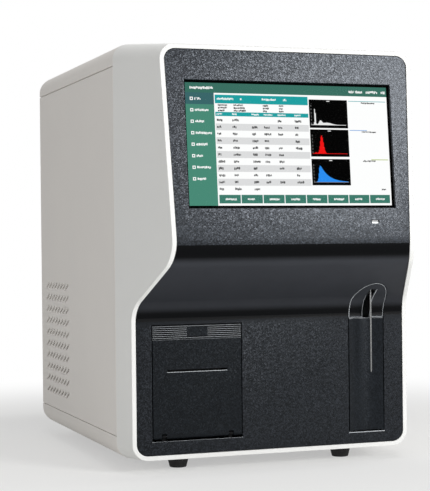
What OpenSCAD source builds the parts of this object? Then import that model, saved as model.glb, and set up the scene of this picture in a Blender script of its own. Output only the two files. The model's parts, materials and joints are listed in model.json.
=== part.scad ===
// Bench-top hematology analyzer with touch screen, printer and sample probe

/* [Housing] */
// Width of the body past the lit screen on each side
screen_side = 53.85; // [48:0.05:65]
// Height from the underside of the base to the top of the cover
body_h = 429.5; // [420:0.5:450]
// Depth from the lower front face to the rear panel
body_d = 367; // [355:1:400]
// Thickness of the covers and panels
wall = 2.2; // [1.8:0.1:2.6]
// Radius of the long top and bottom edges
edge_r = 17; // [14:0.5:18]
// Radius of the rear corners, seen from the side
rear_r = 21; // [16:0.5:22]
// Height of the base tray's side walls
base_side_h = 23.2; // [23:0.2:30]
// Height of the top cover's side walls
top_side_h = 22.8; // [22.4:0.2:30]
// Width of the seams between the covers
seam_gap = 0.8; // [0.5:0.1:1]
// Width of the seam between the front frame and the covers
frame_seam = 0.4; // [0.3:0.1:0.8]
// Height of the lip that the panels lie against
lip_h = 12; // [8:1:16]
// Thickness of that lip
lip_t = 2; // [1.5:0.1:2.5]

/* [Feet] */
// Height of each foot
foot_h = 14; // [10:0.5:20]
// Diameter of a foot where it meets the base
foot_d = 25; // [20:0.5:28]
// Diameter of a foot where it meets the bench
foot_tip_d = 18; // [14:0.5:20]
// Distance of a foot's centre from the middle
foot_x = 94; // [80:1:110]
// Distance of the front feet from the lower front face
foot_front_y = 40.8; // [40:0.2:60]
// Distance of the rear feet from the rear panel
foot_rear_y = 44; // [38:1:70]

/* [Vents] */
// Rows of slanted slots in each side panel
vent_rows = 10; // [6:1:10]
// Slots in a row
vent_cols = 8; // [5:1:8]
// Spacing of the slots along a row
vent_pitch_y = 13.8; // [13.5:0.1:14.5]
// Spacing of the rows
vent_pitch_z = 14.1; // [13.5:0.1:15]
// Length of a slot over its ends
slot_len = 17; // [14:0.5:18]
// Width of a slot
slot_w = 2.8; // [2:0.1:3.2]
// Slant of a slot from upright
slot_slant = 65; // [50:1:66]
// Distance from the rear panel to the nearest slot's middle
vent_rear = 34; // [25:1:40]
// Height of the lowest row above the underside
vent_low = 45; // [42:1:60]

/* [Front frame] */
// Depth of the frame behind the lower front face
frame_depth = 26.7; // [24:0.1:30]
// Angle at which the frame's sides draw in towards the front
side_taper = 19.5; // [17:0.5:21]
// Angle at which the frame's roof falls towards the front
roof_slope = 6; // [4:0.1:7]
// Width of the pale rim round the front panel
rim_w = 4.7; // [4:0.1:5.5]
// Thickness of the frame's walls
frame_wall = 3.2; // [2.6:0.1:3.8]
// Width of the ledge behind the front panel
ledge_w = 4; // [3:0.1:5]
// Thickness of that ledge
ledge_t = 2.5; // [2:0.1:3]
// Height of the inner bend, as a share of the body's height
bend_part = 0.3621; // [0.35:0.0001:0.38]
// Radius of the inner bend
bend_r = 28; // [24:1:30]
// Height of the nose, as a share of the body's height
nose_part = 0.4855; // [0.47:0.0001:0.5]
// Reach of the nose in front of the lower face
nose_reach = 67.9; // [60:0.1:72]
// Radius of the nose
nose_r = 36; // [30:1:40]
// Lean of the screen face from upright
screen_tilt = 5.3; // [4:0.1:7]
// Radius of the roof's front edge
brow_r = 4; // [2:0.5:6]

/* [Front panel] */
// Thickness of the front panel
panel_t = 3; // [2.5:0.1:3.5]
// Depth of the panel behind the rim
panel_recess = 1; // [0.6:0.1:1.6]

/* [Display] */
// Width of the lit area
screen_w = 222.7; // [215:0.1:224]
// Height of the lit area
screen_h = 125.3; // [120:0.1:128]
// Dark margin that shows round the lit area
screen_border = 1.8; // [1:0.1:2.5]
// Place of the screen's middle up the face, as a share of the face
screen_part = 0.5311; // [0.52:0.0001:0.54]
// Margin of the glass past the window
glass_margin = 6; // [5:0.5:7]
// Thickness of the touch glass
glass_t = 1.8; // [1.1:0.1:2.5]
// Thickness of the display module
lcd_t = 5; // [4:0.1:6]
// Thickness of the display bracket
bracket_t = 1.5; // [1.2:0.1:2]
// Width of the status light
light_w = 7; // [5:0.5:9]
// Height of the status light
light_h = 3.5; // [3:0.1:4.5]
// Distance of the status light from the side of the screen's window
light_side = 23.85; // [15:0.05:30]
// Distance of the status light below the screen's window
light_drop = 14.65; // [12:0.05:16]

/* [Printer] */
// Width of the printer door
door_w = 97.1; // [94:0.1:98]
// Distance of the door's upper edge below the inner bend
door_head = 17.3; // [15:0.1:20]
// Distance of the door from the front panel's left edge
door_side = 17.9; // [15:0.1:20]
// Height of the door's lower edge above the underside
door_low = 21; // [18:0.5:22]
// Thickness of the door
door_t = 3; // [2.6:0.1:3.2]
// Gap round the door
door_gap = 0.6; // [0.4:0.1:0.8]
// Gap under the door, wide enough for a fingernail
door_low_gap = 2; // [1:0.1:2.5]
// Opening angle of the door
door_open = 88; // [80:1:88]
// Height of the release bar
bar_h = 14; // [12:0.5:16]
// Number of ribs on the release bar
rib_count = 7; // [5:1:8]
// Height of a rib above the bar
rib_d = 1.2; // [0.8:0.1:1.4]
// Width of the bare pad in the middle of the ribs
pad_w = 23; // [18:1:30]
// Travel of the release bar
bar_travel = 2; // [1:0.1:2.4]
// Width of the paper slot
paper_slot_w = 65.4; // [62:0.1:70]
// Height of the paper slot
paper_slot_h = 2; // [1.4:0.1:2.4]
// Height of the paper slot above the door's lower edge
paper_slot_rise = 70.2; // [68:0.1:74]
// Depth of the printer case behind the panel
case_depth = 58; // [54:1:62]
// Margin of the printer case round the door
case_margin = 6; // [5.5:0.1:6.4]
// Wall of the printer case
case_wall = 2.5; // [2:0.1:2.8]
// Width of the paper
paper_w = 57; // [55:0.5:58]
// Diameter of the paper roll
roll_d = 40; // [34:1:42]
// Diameter of the paper roll's core
core_d = 13; // [11:0.5:17]
// Diameter of the platen roller
platen_d = 10; // [9:0.5:11]
// Diameter of the platen's shaft
platen_shaft_d = 4; // [3:0.5:5]
// Diameter of the door's hinge pin
hinge_pin_d = 2; // [1.6:0.1:2.4]

/* [Aspirate key] */
// Distance of the key from the front panel's right edge
key_side = 22.7; // [20:0.1:26]
// Width of the key
key_w = 40.2; // [38:0.1:41]
// Distance of the key's upper edge below the inner bend
key_head = 15.8; // [14:0.1:18]
// Height of the key's lower edge above the underside
key_low = 17.8; // [16:0.1:19]
// Depth of the hollow in the key's face
key_dip = 5.5; // [4:0.1:6]
// Thickness of the key behind its hollow
key_t = 3; // [2.5:0.1:4]
// Gap round the key
key_gap = 0.7; // [0.5:0.1:0.9]
// Travel of the key
key_travel = 2.5; // [1.5:0.1:3]
// Height of the arch's straight sides above the key
arch_rise = 17.5; // [14:0.5:19]
// Gap round the arched insert
shroud_gap = 0.4; // [0.3:0.1:0.8]
// Width of the slot for the probe in the insert
probe_slot_w = 8.6; // [6:0.1:9]

/* [Sample probe] */
// Outer diameter of the needle
probe_d = 2; // [1.6:0.1:2.2]
// Distance of the needle in front of the lower face
probe_out = 10.6; // [9:0.1:12]
// Distance of the needle's tip below the key's upper edge
probe_drop = 57.5; // [45:0.1:70]
// Upward travel of the needle
probe_stroke = 62; // [50:1:70]
// Distance of the lift bracket below the nose
lift_drop = 14.5; // [10:0.1:16]
// Diameter of the guide rods
rod_d = 5; // [4:0.5:6]
// Diameter of the lift screw
lift_screw_d = 6; // [5:0.5:7]
// Height of the carriage
carriage_h = 16; // [12:1:18]
// Width of the lift motor
lift_motor_w = 28; // [24:1:28]

/* [Syringes] */
// Outer diameter of a syringe barrel
barrel_d = 22; // [18:0.5:24]
// Wall of a syringe barrel
barrel_wall = 2; // [1.6:0.1:2.6]
// Travel of the plungers
plunger_stroke = 40; // [30:1:44]
// Diameter of the plunger rods
plunger_rod_d = 6; // [5:0.5:7]
// Diameter of the syringe screw
syringe_screw_d = 8; // [6:0.5:8]
// Spacing of the two syringes
syringe_pitch = 44; // [40:1:50]

/* [Rear] */
// Diameter of the fan's blades
fan_blade_d = 72; // [66:1:72]
// Width of the fan frame
fan_w = 80; // [80:1:84]
// Depth of the fan frame
fan_t = 25; // [20:1:28]
// Number of fan blades
fan_blades = 7; // [5:1:9]
// Length of a reagent spigot behind the rear panel
spigot_len = 14; // [12:0.5:18]
// Diameter of a reagent spigot
spigot_d = 5; // [4:0.1:6]
// Spacing of the reagent spigots
spigot_pitch = 24; // [20:1:26]

/* [Clearances] */
// Gap between fixed pieces that seat in each other
fit = 0.1; // [0.05:0.01:0.2]
// Radial gap of shafts and pins that turn or slide
run_fit = 0.05; // [0.02:0.01:0.08]
// Gap between pieces that move past each other
clear = 0.3; // [0.3:0.05:0.5]

/* [Hidden] */
$fn = 64;

cover_colour = "#d3d0cb";
frame_colour = "#e8e8e6";
black_colour = "#2b2d30";
dark_colour = "#1d1e20";
steel_colour = "#b9bcc0";
rubber_colour = "#232323";
white_colour = "#f2f1ec";
clear_colour = "#c9d8dc";
board_colour = "#2f6b45";

// Levels and planes, with the lower front face at y = 0 and the bench at z = 0
body_w = screen_w + 2 * screen_side;
half_w = body_w / 2;
base_z = foot_h;
top_z = base_z + body_h;
floor_z = base_z + wall;
low_seam_z = base_z + base_side_h;
high_seam_z = top_z - top_side_h;
body_y = frame_depth + frame_seam;
inner_half_w = half_w - wall - lip_t - 1;
rear_in_y = body_d - wall;
panel_back = panel_recess + panel_t;
past = 1;
// Arcs reach this far past the edges that they round, so that they cross them cleanly
ease = 0.006;

// The front's outline, seen from the side
taper_k = tan(side_taper);
roof_k = tan(roof_slope);
bend_h = body_h * bend_part;
nose_h = body_h * nose_part;
bend = [0, base_z + bend_h];
nose = [-nose_reach, base_z + nose_h];
slope_dir = unit(nose - bend);
slope_n = [slope_dir[1], -slope_dir[0]];
face_dir = [sin(screen_tilt), cos(screen_tilt)];
face_n = [cos(screen_tilt), -sin(screen_tilt)];
lower_n = [1, 0];
nose_centre = web_centre(nose, -slope_dir, face_dir, nose_r);
brow_run = (top_z - nose[1] + (nose[0] - frame_depth) * roof_k) / (face_dir[1] - face_dir[0] * roof_k);
brow = nose + brow_run * face_dir;
front_y = -nose_reach - 20;
panel_half_w = side_x(0) - rim_w;

// The part stands with its origin under the middle of its box
centre_y = -(nose_centre[0] - nose_r + body_d + spigot_len) / 2;

// Chassis plate behind the front
chassis_t = 2;
chassis_y = frame_depth + 13.3;
chassis_back = chassis_y + chassis_t;
chassis_top = high_seam_z - lip_h - 3;
chassis_foot = 20;

// Display stack, measured inwards from the screen face
window_w = screen_w + 2 * screen_border;
window_h = screen_h + 2 * screen_border;
screen_rise = brow_run * screen_part;
light_x = window_w / 2 - light_side;
light_rise = screen_rise - window_h / 2 - light_drop;
glass_w = window_w + 2 * glass_margin;
glass_h = window_h + 2 * glass_margin;
lcd_back = panel_back + glass_t + lcd_t;
post_d = 7;
post_z = glass_h / 2 + post_d / 2 + 1.5;
post_x = window_w / 2 - 40;

// Printer
door_x = -panel_half_w + door_side + door_w / 2;
door_h = bend_h - door_low - door_head;
door_z = base_z + door_low;
door_top_z = door_z + door_h;
barrel_r = 2.5;
pin_y = panel_recess + barrel_r;
pin_z = door_z + barrel_r;
bar_z = door_top_z - bar_h;
bar_mid_z = bar_z + bar_h / 2;
case_half_w = door_w / 2 + case_margin;
case_z = door_z - case_margin;
case_top_z = door_top_z + case_margin;
case_end_y = panel_back + case_depth;
case_floor_z = case_z + case_wall;
cheek_gap = paper_w + 5;
slot_z = door_z + paper_slot_rise;
platen_y = panel_back + 12;
roll_y = case_end_y - case_wall - roll_d / 2 - 2;
roll_z = case_floor_z + roll_d / 2 + clear;
ear_w = 4;
ear_x = door_w / 2 - 12;
stem_d = 4;
stem_x = door_w / 2 - 10;

// Aspirate key
key_x = panel_half_w - key_side - key_w / 2;
key_h = bend_h - key_low - key_head;
key_z = base_z + key_low;
key_top_z = key_z + key_h;
key_back = panel_recess + key_dip + key_t;
key_curve_r = (key_w * key_w / 4 + key_dip * key_dip) / (2 * key_dip);
key_stem_d = 5;
key_stem_z = [key_z + 34, key_top_z - 34];
key_plate_y = key_back + key_travel + 8;
key_plate_t = 3;
key_leg_x = key_w / 2 + key_gap + 1.6;
key_leg_t = 2.5;
arch_r = key_w / 2 + key_gap;
arch_low_z = key_top_z + key_gap;
arch_z = key_top_z + arch_rise;
probe_slot_top = arch_z + arch_r - 7;

// Probe lift
lift_z = nose[1] - lift_drop;
arm_t = 4;
rod_x = 14;
probe_y = -probe_out;
rod_y = probe_y + 24;
screw_y = rod_y + 11;
carriage_z = lift_z + arm_t + 4;
lift_top_z = carriage_z + carriage_h + probe_stroke + 4 + arm_t;
wash_h = 12;

// Counting baths behind the chassis
bath_x = key_x;
bath_y = [chassis_back + 30, chassis_back + 68];
bath_z = base_z + 200;
bath_r = 15;
bath_wall = 2.5;
bath_depth = 42;
shelf_t = 3;

// Syringe unit behind the chassis
syringe_x = key_x - 103;
syringe_y = chassis_back + 30;
syringe_z = base_z + 190;
piston_h = 8;
head_h = 10;
head_z = syringe_z + arm_t + 10;
barrel_z = head_z + head_h + plunger_stroke + 8 + arm_t;
piston_z = barrel_z + 3;
barrel_h = piston_h + plunger_stroke + 8;
syringe_motor_w = 42;

// Valve block behind the chassis
valve_count = 6;
valve_pitch = 17;
valve_x = -half_w + 30;
valve_z = top_z - 128.5;
valve_bar_h = 18;

// Vacuum bottle, pump and power supply on the floor
bottle_r = 32;
bottle_x = half_w - bottle_r - 28;
pump_x = syringe_x + 20;
supply_x = -half_w + edge_r + 0.5;

// Rear fittings
fan_x = half_w - 80;
fan_z = top_z - 118.5;
fan_stub_d = 6;
fan_hub_d = 32;
inlet_x = -half_w + 60;
inlet_z = base_z + 62;
inlet_w = 27;
inlet_h = 20;
inlet_flange_t = 2.5;
inlet_body_t = 22;
cavity_w = 22.4;
cavity_h = 15.4;
cavity_y = body_d + inlet_flange_t - 17;
rocker_x = inlet_x + 48;
rocker_w = 11;
rocker_h = 20;
rocker_tilt = 8;
rocker_axis_y = body_d - 3;
rocker_pivot_d = 3;
switch_w = rocker_w + 4;
switch_h = rocker_h + 4;
split_z = inlet_z + 45;
board_t = 1.6;
board_w = 148;
board_x = half_w - board_w - 15;
port_z = base_z + 62;
// Ports by place, width and height: two flat ones, a network one and a wide one
ports = [
  [board_x + 22, 13.4, 6.4], [board_x + 44, 13.4, 6.4], [board_x + 70, 15.8, 13.4], [board_x + 106, 31, 12.4]
];
port_row = [board_x + 22 - 6.7, board_x + 106 + 15.5];
port_window_h = 20;
port_plate_t = 1;
board_h = 160;
board_z = base_z + 36;
standoff_len = 22;
board_y = rear_in_y - standoff_len - board_t;
standoff_x = [board_x + 6, board_x + board_w - 6];
standoff_z = [board_z + 6, board_z + board_h - 6];
spigot_x = -half_w + 105;
spigot_z = base_z + 190;
spigot_neck_d = 9;
hex_d = 15;
hex_t = 4;

// Vectors and corners
function unit(v) = v / norm(v);
function inset_corner(p, n1, n2, t) = p + t * (n1 + n2) / (1 + n1 * n2);
function web_centre(p, u, v, r) = p + unit(u + v) * r / sin(acos(u * v) / 2);
function web_len(u, v, r) = r / tan(acos(u * v) / 2);
function side_x(y) = half_w + (y - frame_depth) * taper_k;
function roof_z(y) = top_z + (y - frame_depth) * roof_k;

// The whole part is drawn from the front face and set over its middle
module place() {
  translate([0, centre_y, 0]) children();
}

// A side view drawn in y and z, run along x
module run_x(x0, x1) {
  translate([x0, 0, 0]) rotate([90, 0, 90]) linear_extrude(x1 - x0) children();
}

// A front view drawn in x and z, run along y
module run_y(y0, y1) {
  translate([0, y1, 0]) rotate([90, 0, 0]) linear_extrude(y1 - y0) children();
}

module block(lo, hi) {
  translate(lo) cube(hi - lo);
}

// A block given by its middle in x and z and its run in y
module block_y(x, z, w, h, y0, y1) {
  block([x - w / 2, y0, z - h / 2], [x + w / 2, y1, z + h / 2]);
}

module rod_along_x(y, z, x0, x1, d) {
  translate([x0, y, z]) rotate([0, 90, 0]) cylinder(d = d, h = x1 - x0);
}

module rod_along_y(x, z, y0, y1, d) {
  translate([x, y1, z]) rotate([90, 0, 0]) cylinder(d = d, h = y1 - y0);
}

module rod_along_z(x, y, z0, z1, d) {
  translate([x, y, z0]) cylinder(d = d, h = z1 - z0);
}

// The web between a corner and the arc that rounds it; u and v run along its two edges
module corner_web(p, u, v, r) {
  c = web_centre(p, u, v, r - ease);
  len = web_len(u, v, r);
  difference() {
    polygon([
      p - (u + v) * past, p + u * len - v * past, p + u * len, c,
      p + v * len, p + v * len - u * past
    ]);
    translate(c) circle(r);
  }
}

module round_rect(x0, x1, z0, z1, r) {
  difference() {
    translate([x0, z0]) square([x1 - x0, z1 - z0]);
    corner_web([x0, z0], [1, 0], [0, 1], r);
    corner_web([x1, z0], [-1, 0], [0, 1], r);
    corner_web([x0, z1], [1, 0], [0, -1], r);
    corner_web([x1, z1], [-1, 0], [0, -1], r);
  }
}

// The main box, drawn in from its outside by i
module body_block(i, y0) {
  intersection() {
    run_x(-half_w - past, half_w + past) difference() {
      translate([y0, base_z + i]) square([body_d - i - y0, body_h - 2 * i]);
      corner_web([body_d - i, base_z + i], [-1, 0], [0, 1], rear_r - i);
      corner_web([body_d - i, top_z - i], [-1, 0], [0, -1], rear_r - i);
    }
    run_y(y0 - past, body_d + past) round_rect(-half_w + i, half_w - i, base_z + i, top_z - i, edge_r - i);
  }
}

module body_band(z0, z1) {
  block([-half_w - past, body_y - 2 * past, z0], [half_w + past, body_d + past, z1]);
}

// Skin of the main box between two levels, with the lip that the panels lie against
module cover_shell(z0, z1, lip_z0, lip_z1) {
  intersection() {
    difference() {
      body_block(0, body_y);
      body_block(wall, body_y - past);
    }
    body_band(z0, z1);
  }
  intersection() {
    difference() {
      body_block(wall, body_y + 4);
      body_block(wall + lip_t, body_y);
    }
    body_band(lip_z0, lip_z1);
  }
}

module base_tray() {
  color(cover_colour) place() cover_shell(base_z - past, low_seam_z, low_seam_z - 5, low_seam_z + lip_h);
}

module top_cover() {
  color(cover_colour) place() cover_shell(high_seam_z, top_z + past, high_seam_z - lip_h, high_seam_z + 5);
}

module vent_slot() {
  rotate(slot_slant) {
    square([slot_w, slot_len - slot_w], center = true);
    for (end = [-1, 1]) translate([0, end * (slot_len - slot_w) / 2]) circle(d = slot_w);
  }
}

// Drawn on the right; the left panel is its mirror
module side_panel() {
  difference() {
    block([half_w - wall, body_y, low_seam_z + seam_gap], [half_w, body_d, high_seam_z - seam_gap]);
    run_x(half_w - wall - past, half_w + past)
      for (row = [0 : vent_rows - 1], col = [0 : vent_cols - 1])
        translate([body_d - vent_rear - col * vent_pitch_y, base_z + vent_low + row * vent_pitch_z])
          vent_slot();
  }
}

module right_side_panel() {
  color(cover_colour) place() side_panel();
}

module left_side_panel() {
  color(cover_colour) place() mirror([1, 0, 0]) side_panel();
}

module rear_sheet(z0, z1) {
  block([-half_w + wall + fit, rear_in_y, z0], [half_w - wall - fit, body_d, z1]);
}

module rear_panel() {
  color(cover_colour) place() difference() {
    rear_sheet(split_z + seam_gap, high_seam_z - seam_gap);
    rod_along_y(fan_x, fan_z, rear_in_y - past, body_d + past, fan_blade_d + 4);
    for (i = [0 : 3])
      rod_along_y(
        spigot_x - i * spigot_pitch, spigot_z, rear_in_y - past, body_d + past, spigot_neck_d + 2 * fit
      );
  }
}

// Lower sheet of the rear, with the mains inlet, the switch and a window for the ports
module connector_panel() {
  color(cover_colour) place() difference() {
    rear_sheet(low_seam_z + seam_gap, split_z);
    block_y(inlet_x, inlet_z, inlet_w + 2 * fit, inlet_h + 2 * fit, rear_in_y - past, body_d + past);
    block_y(rocker_x, inlet_z, switch_w + 2 * fit, switch_h + 2 * fit, rear_in_y - past, body_d + past);
    run_y(rear_in_y - past, body_d + past) round_rect(
      port_row[0] - 4, port_row[1] + 4, port_z - port_window_h / 2, port_z + port_window_h / 2, 3
    );
  }
}

// Plate behind that window, cut to the ports
module port_plate() {
  margin = 8;
  color(steel_colour) place() difference() {
    block(
      [port_row[0] - margin, rear_in_y - port_plate_t, port_z - port_window_h / 2 - margin / 2],
      [port_row[1] + margin, rear_in_y, port_z + port_window_h / 2 + margin / 2]
    );
    for (p = ports)
      block_y(p[0], port_z, p[1] + 2 * fit, p[2] + 2 * fit, rear_in_y - port_plate_t - past, body_d);
  }
}

module rubber_feet() {
  color(rubber_colour) place()
    for (x = [-foot_x, foot_x], y = [foot_front_y, body_d - foot_rear_y])
      translate([x, y, 0]) cylinder(d1 = foot_tip_d, d2 = foot_d, h = foot_h);
}

// Dome-headed screws that hold the two rear sheets
module rear_screws() {
  head_r = 3.2;
  head_h = 1.8;
  dome_r = (head_r * head_r + head_h * head_h) / (2 * head_h);
  inset = 7;
  screw_z = [low_seam_z + inset, split_z - inset, split_z + seam_gap + inset, high_seam_z - inset];
  color(steel_colour) place()
    for (x = [-half_w + 12, half_w - 12], z = screw_z)
      translate([x, body_d, z]) rotate([-90, 0, 0]) intersection() {
        cylinder(r = head_r, h = head_h);
        translate([0, 0, head_h - dome_r]) sphere(dome_r);
      }
}

// Region behind the curved front, drawn in from it by t
module front_region(t) {
  a = inset_corner(bend, lower_n, slope_n, t);
  b = inset_corner(nose, slope_n, face_n, t);
  reach = body_h;
  difference() {
    polygon([[t, -past], a, b, b + face_dir * reach, [body_d, (b + face_dir * reach)[1]], [body_d, -past]]);
    corner_web(b, -slope_dir, face_dir, nose_r - t);
  }
  corner_web(a, [0, -1], slope_dir, bend_r + t);
}

module front_solid(t) {
  run_x(-half_w - past, half_w + past) front_region(t);
}

module front_layer(t0, t1) {
  run_x(-half_w - past, half_w + past) difference() {
    front_region(t0);
    front_region(t1);
  }
}

// Cutter that rounds the long edge between a side and the roof or the underside
module long_edge_cut(centre, side_n, face_n, r) {
  run = unit(cross(side_n, face_n));
  up = cross(run, side_n);
  turn = acos(side_n * face_n);
  reach = 3 * r;
  multmatrix([
    [side_n[0], up[0], run[0], centre[0]],
    [side_n[1], up[1], run[1], centre[1]],
    [side_n[2], up[2], run[2], centre[2]],
    [0, 0, 0, 1]
  ])
    linear_extrude(2 * body_w, center = true) difference() {
      polygon([[0, 0], [reach, 0], [reach, reach], [reach * cos(turn), reach * sin(turn)]]);
      circle(r);
    }
}

// Tapered block that bounds the front frame, drawn in by m and run back to back_y
module frame_prism(m, back_y) {
  r = edge_r - m;
  side_n = unit([1, -taper_k, 0]);
  roof_n = unit([0, -roof_k, 1]);
  axis_r = r - ease;
  axis_x = side_x(0) - m - axis_r * norm([1, taper_k]);
  difference() {
    intersection() {
      linear_extrude(top_z + 20) polygon([
        [-side_x(front_y) + m, front_y], [side_x(front_y) - m, front_y],
        [side_x(back_y) - m, back_y], [-side_x(back_y) + m, back_y]
      ]);
      run_x(-body_w, body_w) polygon([
        [front_y - past, base_z + m], [back_y + past, base_z + m],
        [back_y + past, roof_z(back_y + past) - m], [front_y - past, roof_z(front_y - past) - m]
      ]);
    }
    for (side = [0, 1]) mirror([side, 0, 0]) {
      long_edge_cut([axis_x, 0, roof_z(0) - m - axis_r * norm([1, roof_k])], side_n, roof_n, r);
      long_edge_cut([axis_x, 0, base_z + m + axis_r], side_n, [0, 0, -1], r);
    }
  }
}

module front_frame() {
  lug_h = 26;
  lug_w = 20;
  seat_t = panel_back + fit;
  color(frame_colour) place() {
    difference() {
      intersection() {
        frame_prism(0, frame_depth);
        front_solid(0);
      }
      run_x(-half_w, half_w) corner_web(brow, -face_dir, unit([1, roof_k]), brow_r);
      difference() {
        frame_prism(rim_w, frame_depth + past);
        front_solid(seat_t);
      }
      frame_prism(rim_w + ledge_w, frame_depth + past);
      intersection() {
        frame_prism(frame_wall, frame_depth + past);
        front_solid(seat_t + ledge_t);
      }
    }
    for (side = [-1, 1], z = [bend[1] + 12, chassis_top - lug_h])
      intersection() {
        block(
          [side > 0 ? inner_half_w - lug_w : -inner_half_w, 8, z],
          [side > 0 ? inner_half_w : -inner_half_w + lug_w, chassis_y, z + lug_h]
        );
        frame_prism(frame_wall / 2, chassis_y + past);
      }
  }
}

// Puts a piece on the screen face: x across, y inwards and z up the face from the nose
module on_face() {
  translate([0, nose[0], nose[1]]) rotate([-screen_tilt, 0, 0]) children();
}

// Arch above the key, seen from the front and grown by g
module arch_outline(g) {
  half = arch_r + g;
  difference() {
    union() {
      translate([key_x - half, arch_low_z]) square([2 * half, arch_z - arch_low_z]);
      translate([key_x, arch_z]) circle(half);
    }
    translate([key_x - 2 * half, arch_low_z - 2 * half]) square([4 * half, 2 * half]);
  }
}

module arch_band(g_out, g_in) {
  run_y(front_y, frame_depth) difference() {
    arch_outline(g_out);
    translate([0, -past]) arch_outline(g_in);
    arch_outline(g_in);
  }
}

module front_panel() {
  color(black_colour) place() difference() {
    union() {
      intersection() {
        frame_prism(rim_w + fit, frame_depth);
        front_layer(panel_recess, panel_back);
      }
      on_face() for (x = [-post_x, post_x], z = [screen_rise - post_z, screen_rise + post_z])
        rod_along_y(x, z, panel_back - past, lcd_back, post_d);
    }
    run_y(front_y, frame_depth) arch_outline(0);
    block_y(
      key_x, (key_z + key_top_z) / 2, key_w + 2 * key_gap, key_h + 2 * key_gap, -past, frame_depth
    );
    block(
      [door_x - door_w / 2 - door_gap, -past, door_z - door_low_gap],
      [door_x + door_w / 2 + door_gap, frame_depth, door_top_z + door_gap]
    );
    on_face() {
      block_y(0, screen_rise, window_w, window_h, -past, panel_back + past);
      block_y(light_x, light_rise, light_w, light_h, -past, panel_back + past);
    }
  }
}

// Arched insert above the key, slotted for the needle and held by a flange behind the panel
module probe_shroud() {
  flange_w = 3;
  flange_t = 2;
  flange_y = panel_back + fit;
  color(black_colour) place() difference() {
    union() {
      intersection() {
        front_layer(panel_recess, panel_back);
        run_y(front_y, frame_depth) arch_outline(-shroud_gap);
      }
      intersection() {
        front_layer(panel_recess, flange_y + flange_t);
        arch_band(-shroud_gap, -shroud_gap - flange_w);
      }
      intersection() {
        front_layer(flange_y, flange_y + flange_t);
        arch_band(flange_w, -shroud_gap - flange_w);
      }
    }
    block(
      [key_x - probe_slot_w / 2, front_y, key_top_z],
      [key_x + probe_slot_w / 2, frame_depth, probe_slot_top]
    );
  }
}

// Sheet-metal wall that carries the works, standing on the base
module chassis_plate() {
  low_half_w = half_w - edge_r - 5;
  color(steel_colour) place() difference() {
    union() {
      block([-inner_half_w, chassis_y, low_seam_z], [inner_half_w, chassis_back, chassis_top]);
      block([-low_half_w, chassis_y, floor_z], [low_half_w, chassis_back, low_seam_z + past]);
      block([-low_half_w, chassis_y, floor_z], [low_half_w, chassis_back + chassis_foot, floor_z + chassis_t]);
    }
    block(
      [door_x - case_half_w - 1, chassis_y - past, case_z - 1],
      [door_x + case_half_w + 1, chassis_back + past, case_top_z + 1]
    );
  }
}

module touch_glass() {
  color(dark_colour) place() on_face() run_y(panel_back, panel_back + glass_t)
    round_rect(-glass_w / 2, glass_w / 2, screen_rise - glass_h / 2, screen_rise + glass_h / 2, 3);
}

module lcd_module() {
  frame_w = 6;
  color(steel_colour) place() on_face() block_y(
    0, screen_rise, screen_w + 2 * frame_w, screen_h + 2 * frame_w, panel_back + glass_t, lcd_back
  );
}

// Plate behind the display, screwed to the panel's posts, with two stiffening channels
module display_bracket() {
  margin = 5;
  channel_w = 14;
  channel_t = 6;
  color(steel_colour) place() on_face() {
    run_y(lcd_back, lcd_back + bracket_t) difference() {
      round_rect(
        -post_x - post_d - margin, post_x + post_d + margin,
        screen_rise - post_z - margin, screen_rise + post_z + margin, 4
      );
      round_rect(-45, 45, screen_rise - 30, screen_rise + 30, 6);
    }
    for (x = [-post_x + 18, post_x - 18])
      block_y(
        x, screen_rise, channel_w, 2 * post_z - 20, lcd_back + bracket_t, lcd_back + bracket_t + channel_t
      );
  }
}

module status_light() {
  color(clear_colour) place() on_face() {
    block_y(light_x, light_rise, light_w - 2 * fit, light_h - 2 * fit, panel_recess + 0.8, panel_back);
    block_y(light_x, light_rise, light_w + 3, light_h + 3, panel_back, panel_back + 2);
  }
}

// Bucket behind the door, with cheeks for the roll and platen, hinge ears and guides for the bar
module printer_case() {
  guide_y = panel_back + bar_travel + 1.5;
  guide_w = stem_d + 5;
  guide_len = 6;
  cheek_top = slot_z + platen_d;
  ear_r = barrel_r - 0.3;
  color(dark_colour) place() difference() {
    union() {
      difference() {
        block([door_x - case_half_w, panel_back, case_z], [door_x + case_half_w, case_end_y, case_top_z]);
        block(
          [door_x - case_half_w + case_wall, panel_back - past, case_floor_z],
          [door_x + case_half_w - case_wall, case_end_y - case_wall, case_top_z - case_wall]
        );
      }
      for (side = [-1, 1]) {
        cheek_x = door_x + side * (cheek_gap + case_wall) / 2;
        block(
          [cheek_x - case_wall / 2, panel_back + 5, case_floor_z - past],
          [cheek_x + case_wall / 2, case_end_y - past, cheek_top]
        );
        translate([door_x + side * ear_x, 0, 0]) run_x(-ear_w / 2, ear_w / 2) {
          translate([pin_y, pin_z]) circle(ear_r);
          polygon([
            [pin_y, pin_z + ear_r], [pin_y + 8, pin_z + ear_r], [pin_y + 8, case_floor_z - past],
            [panel_back + fit, case_floor_z - past], [panel_back + fit, pin_z - ear_r],
            [pin_y, pin_z - ear_r]
          ]);
        }
        block(
          [door_x + side * stem_x - guide_w / 2, guide_y, bar_mid_z - guide_w / 2],
          [door_x + side * stem_x + guide_w / 2, guide_y + guide_len, case_top_z - past]
        );
      }
    }
    rod_along_x(platen_y, slot_z, door_x - case_half_w + case_wall, door_x + case_half_w - case_wall,
      platen_shaft_d + 2 * run_fit);
    rod_along_x(pin_y, pin_z, door_x - door_w / 2, door_x + door_w / 2, hinge_pin_d + 2 * run_fit);
    for (side = [-1, 1])
      rod_along_y(door_x + side * stem_x, bar_mid_z, guide_y - past, guide_y + guide_len + past,
        stem_d + 2 * run_fit);
  }
}

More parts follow.
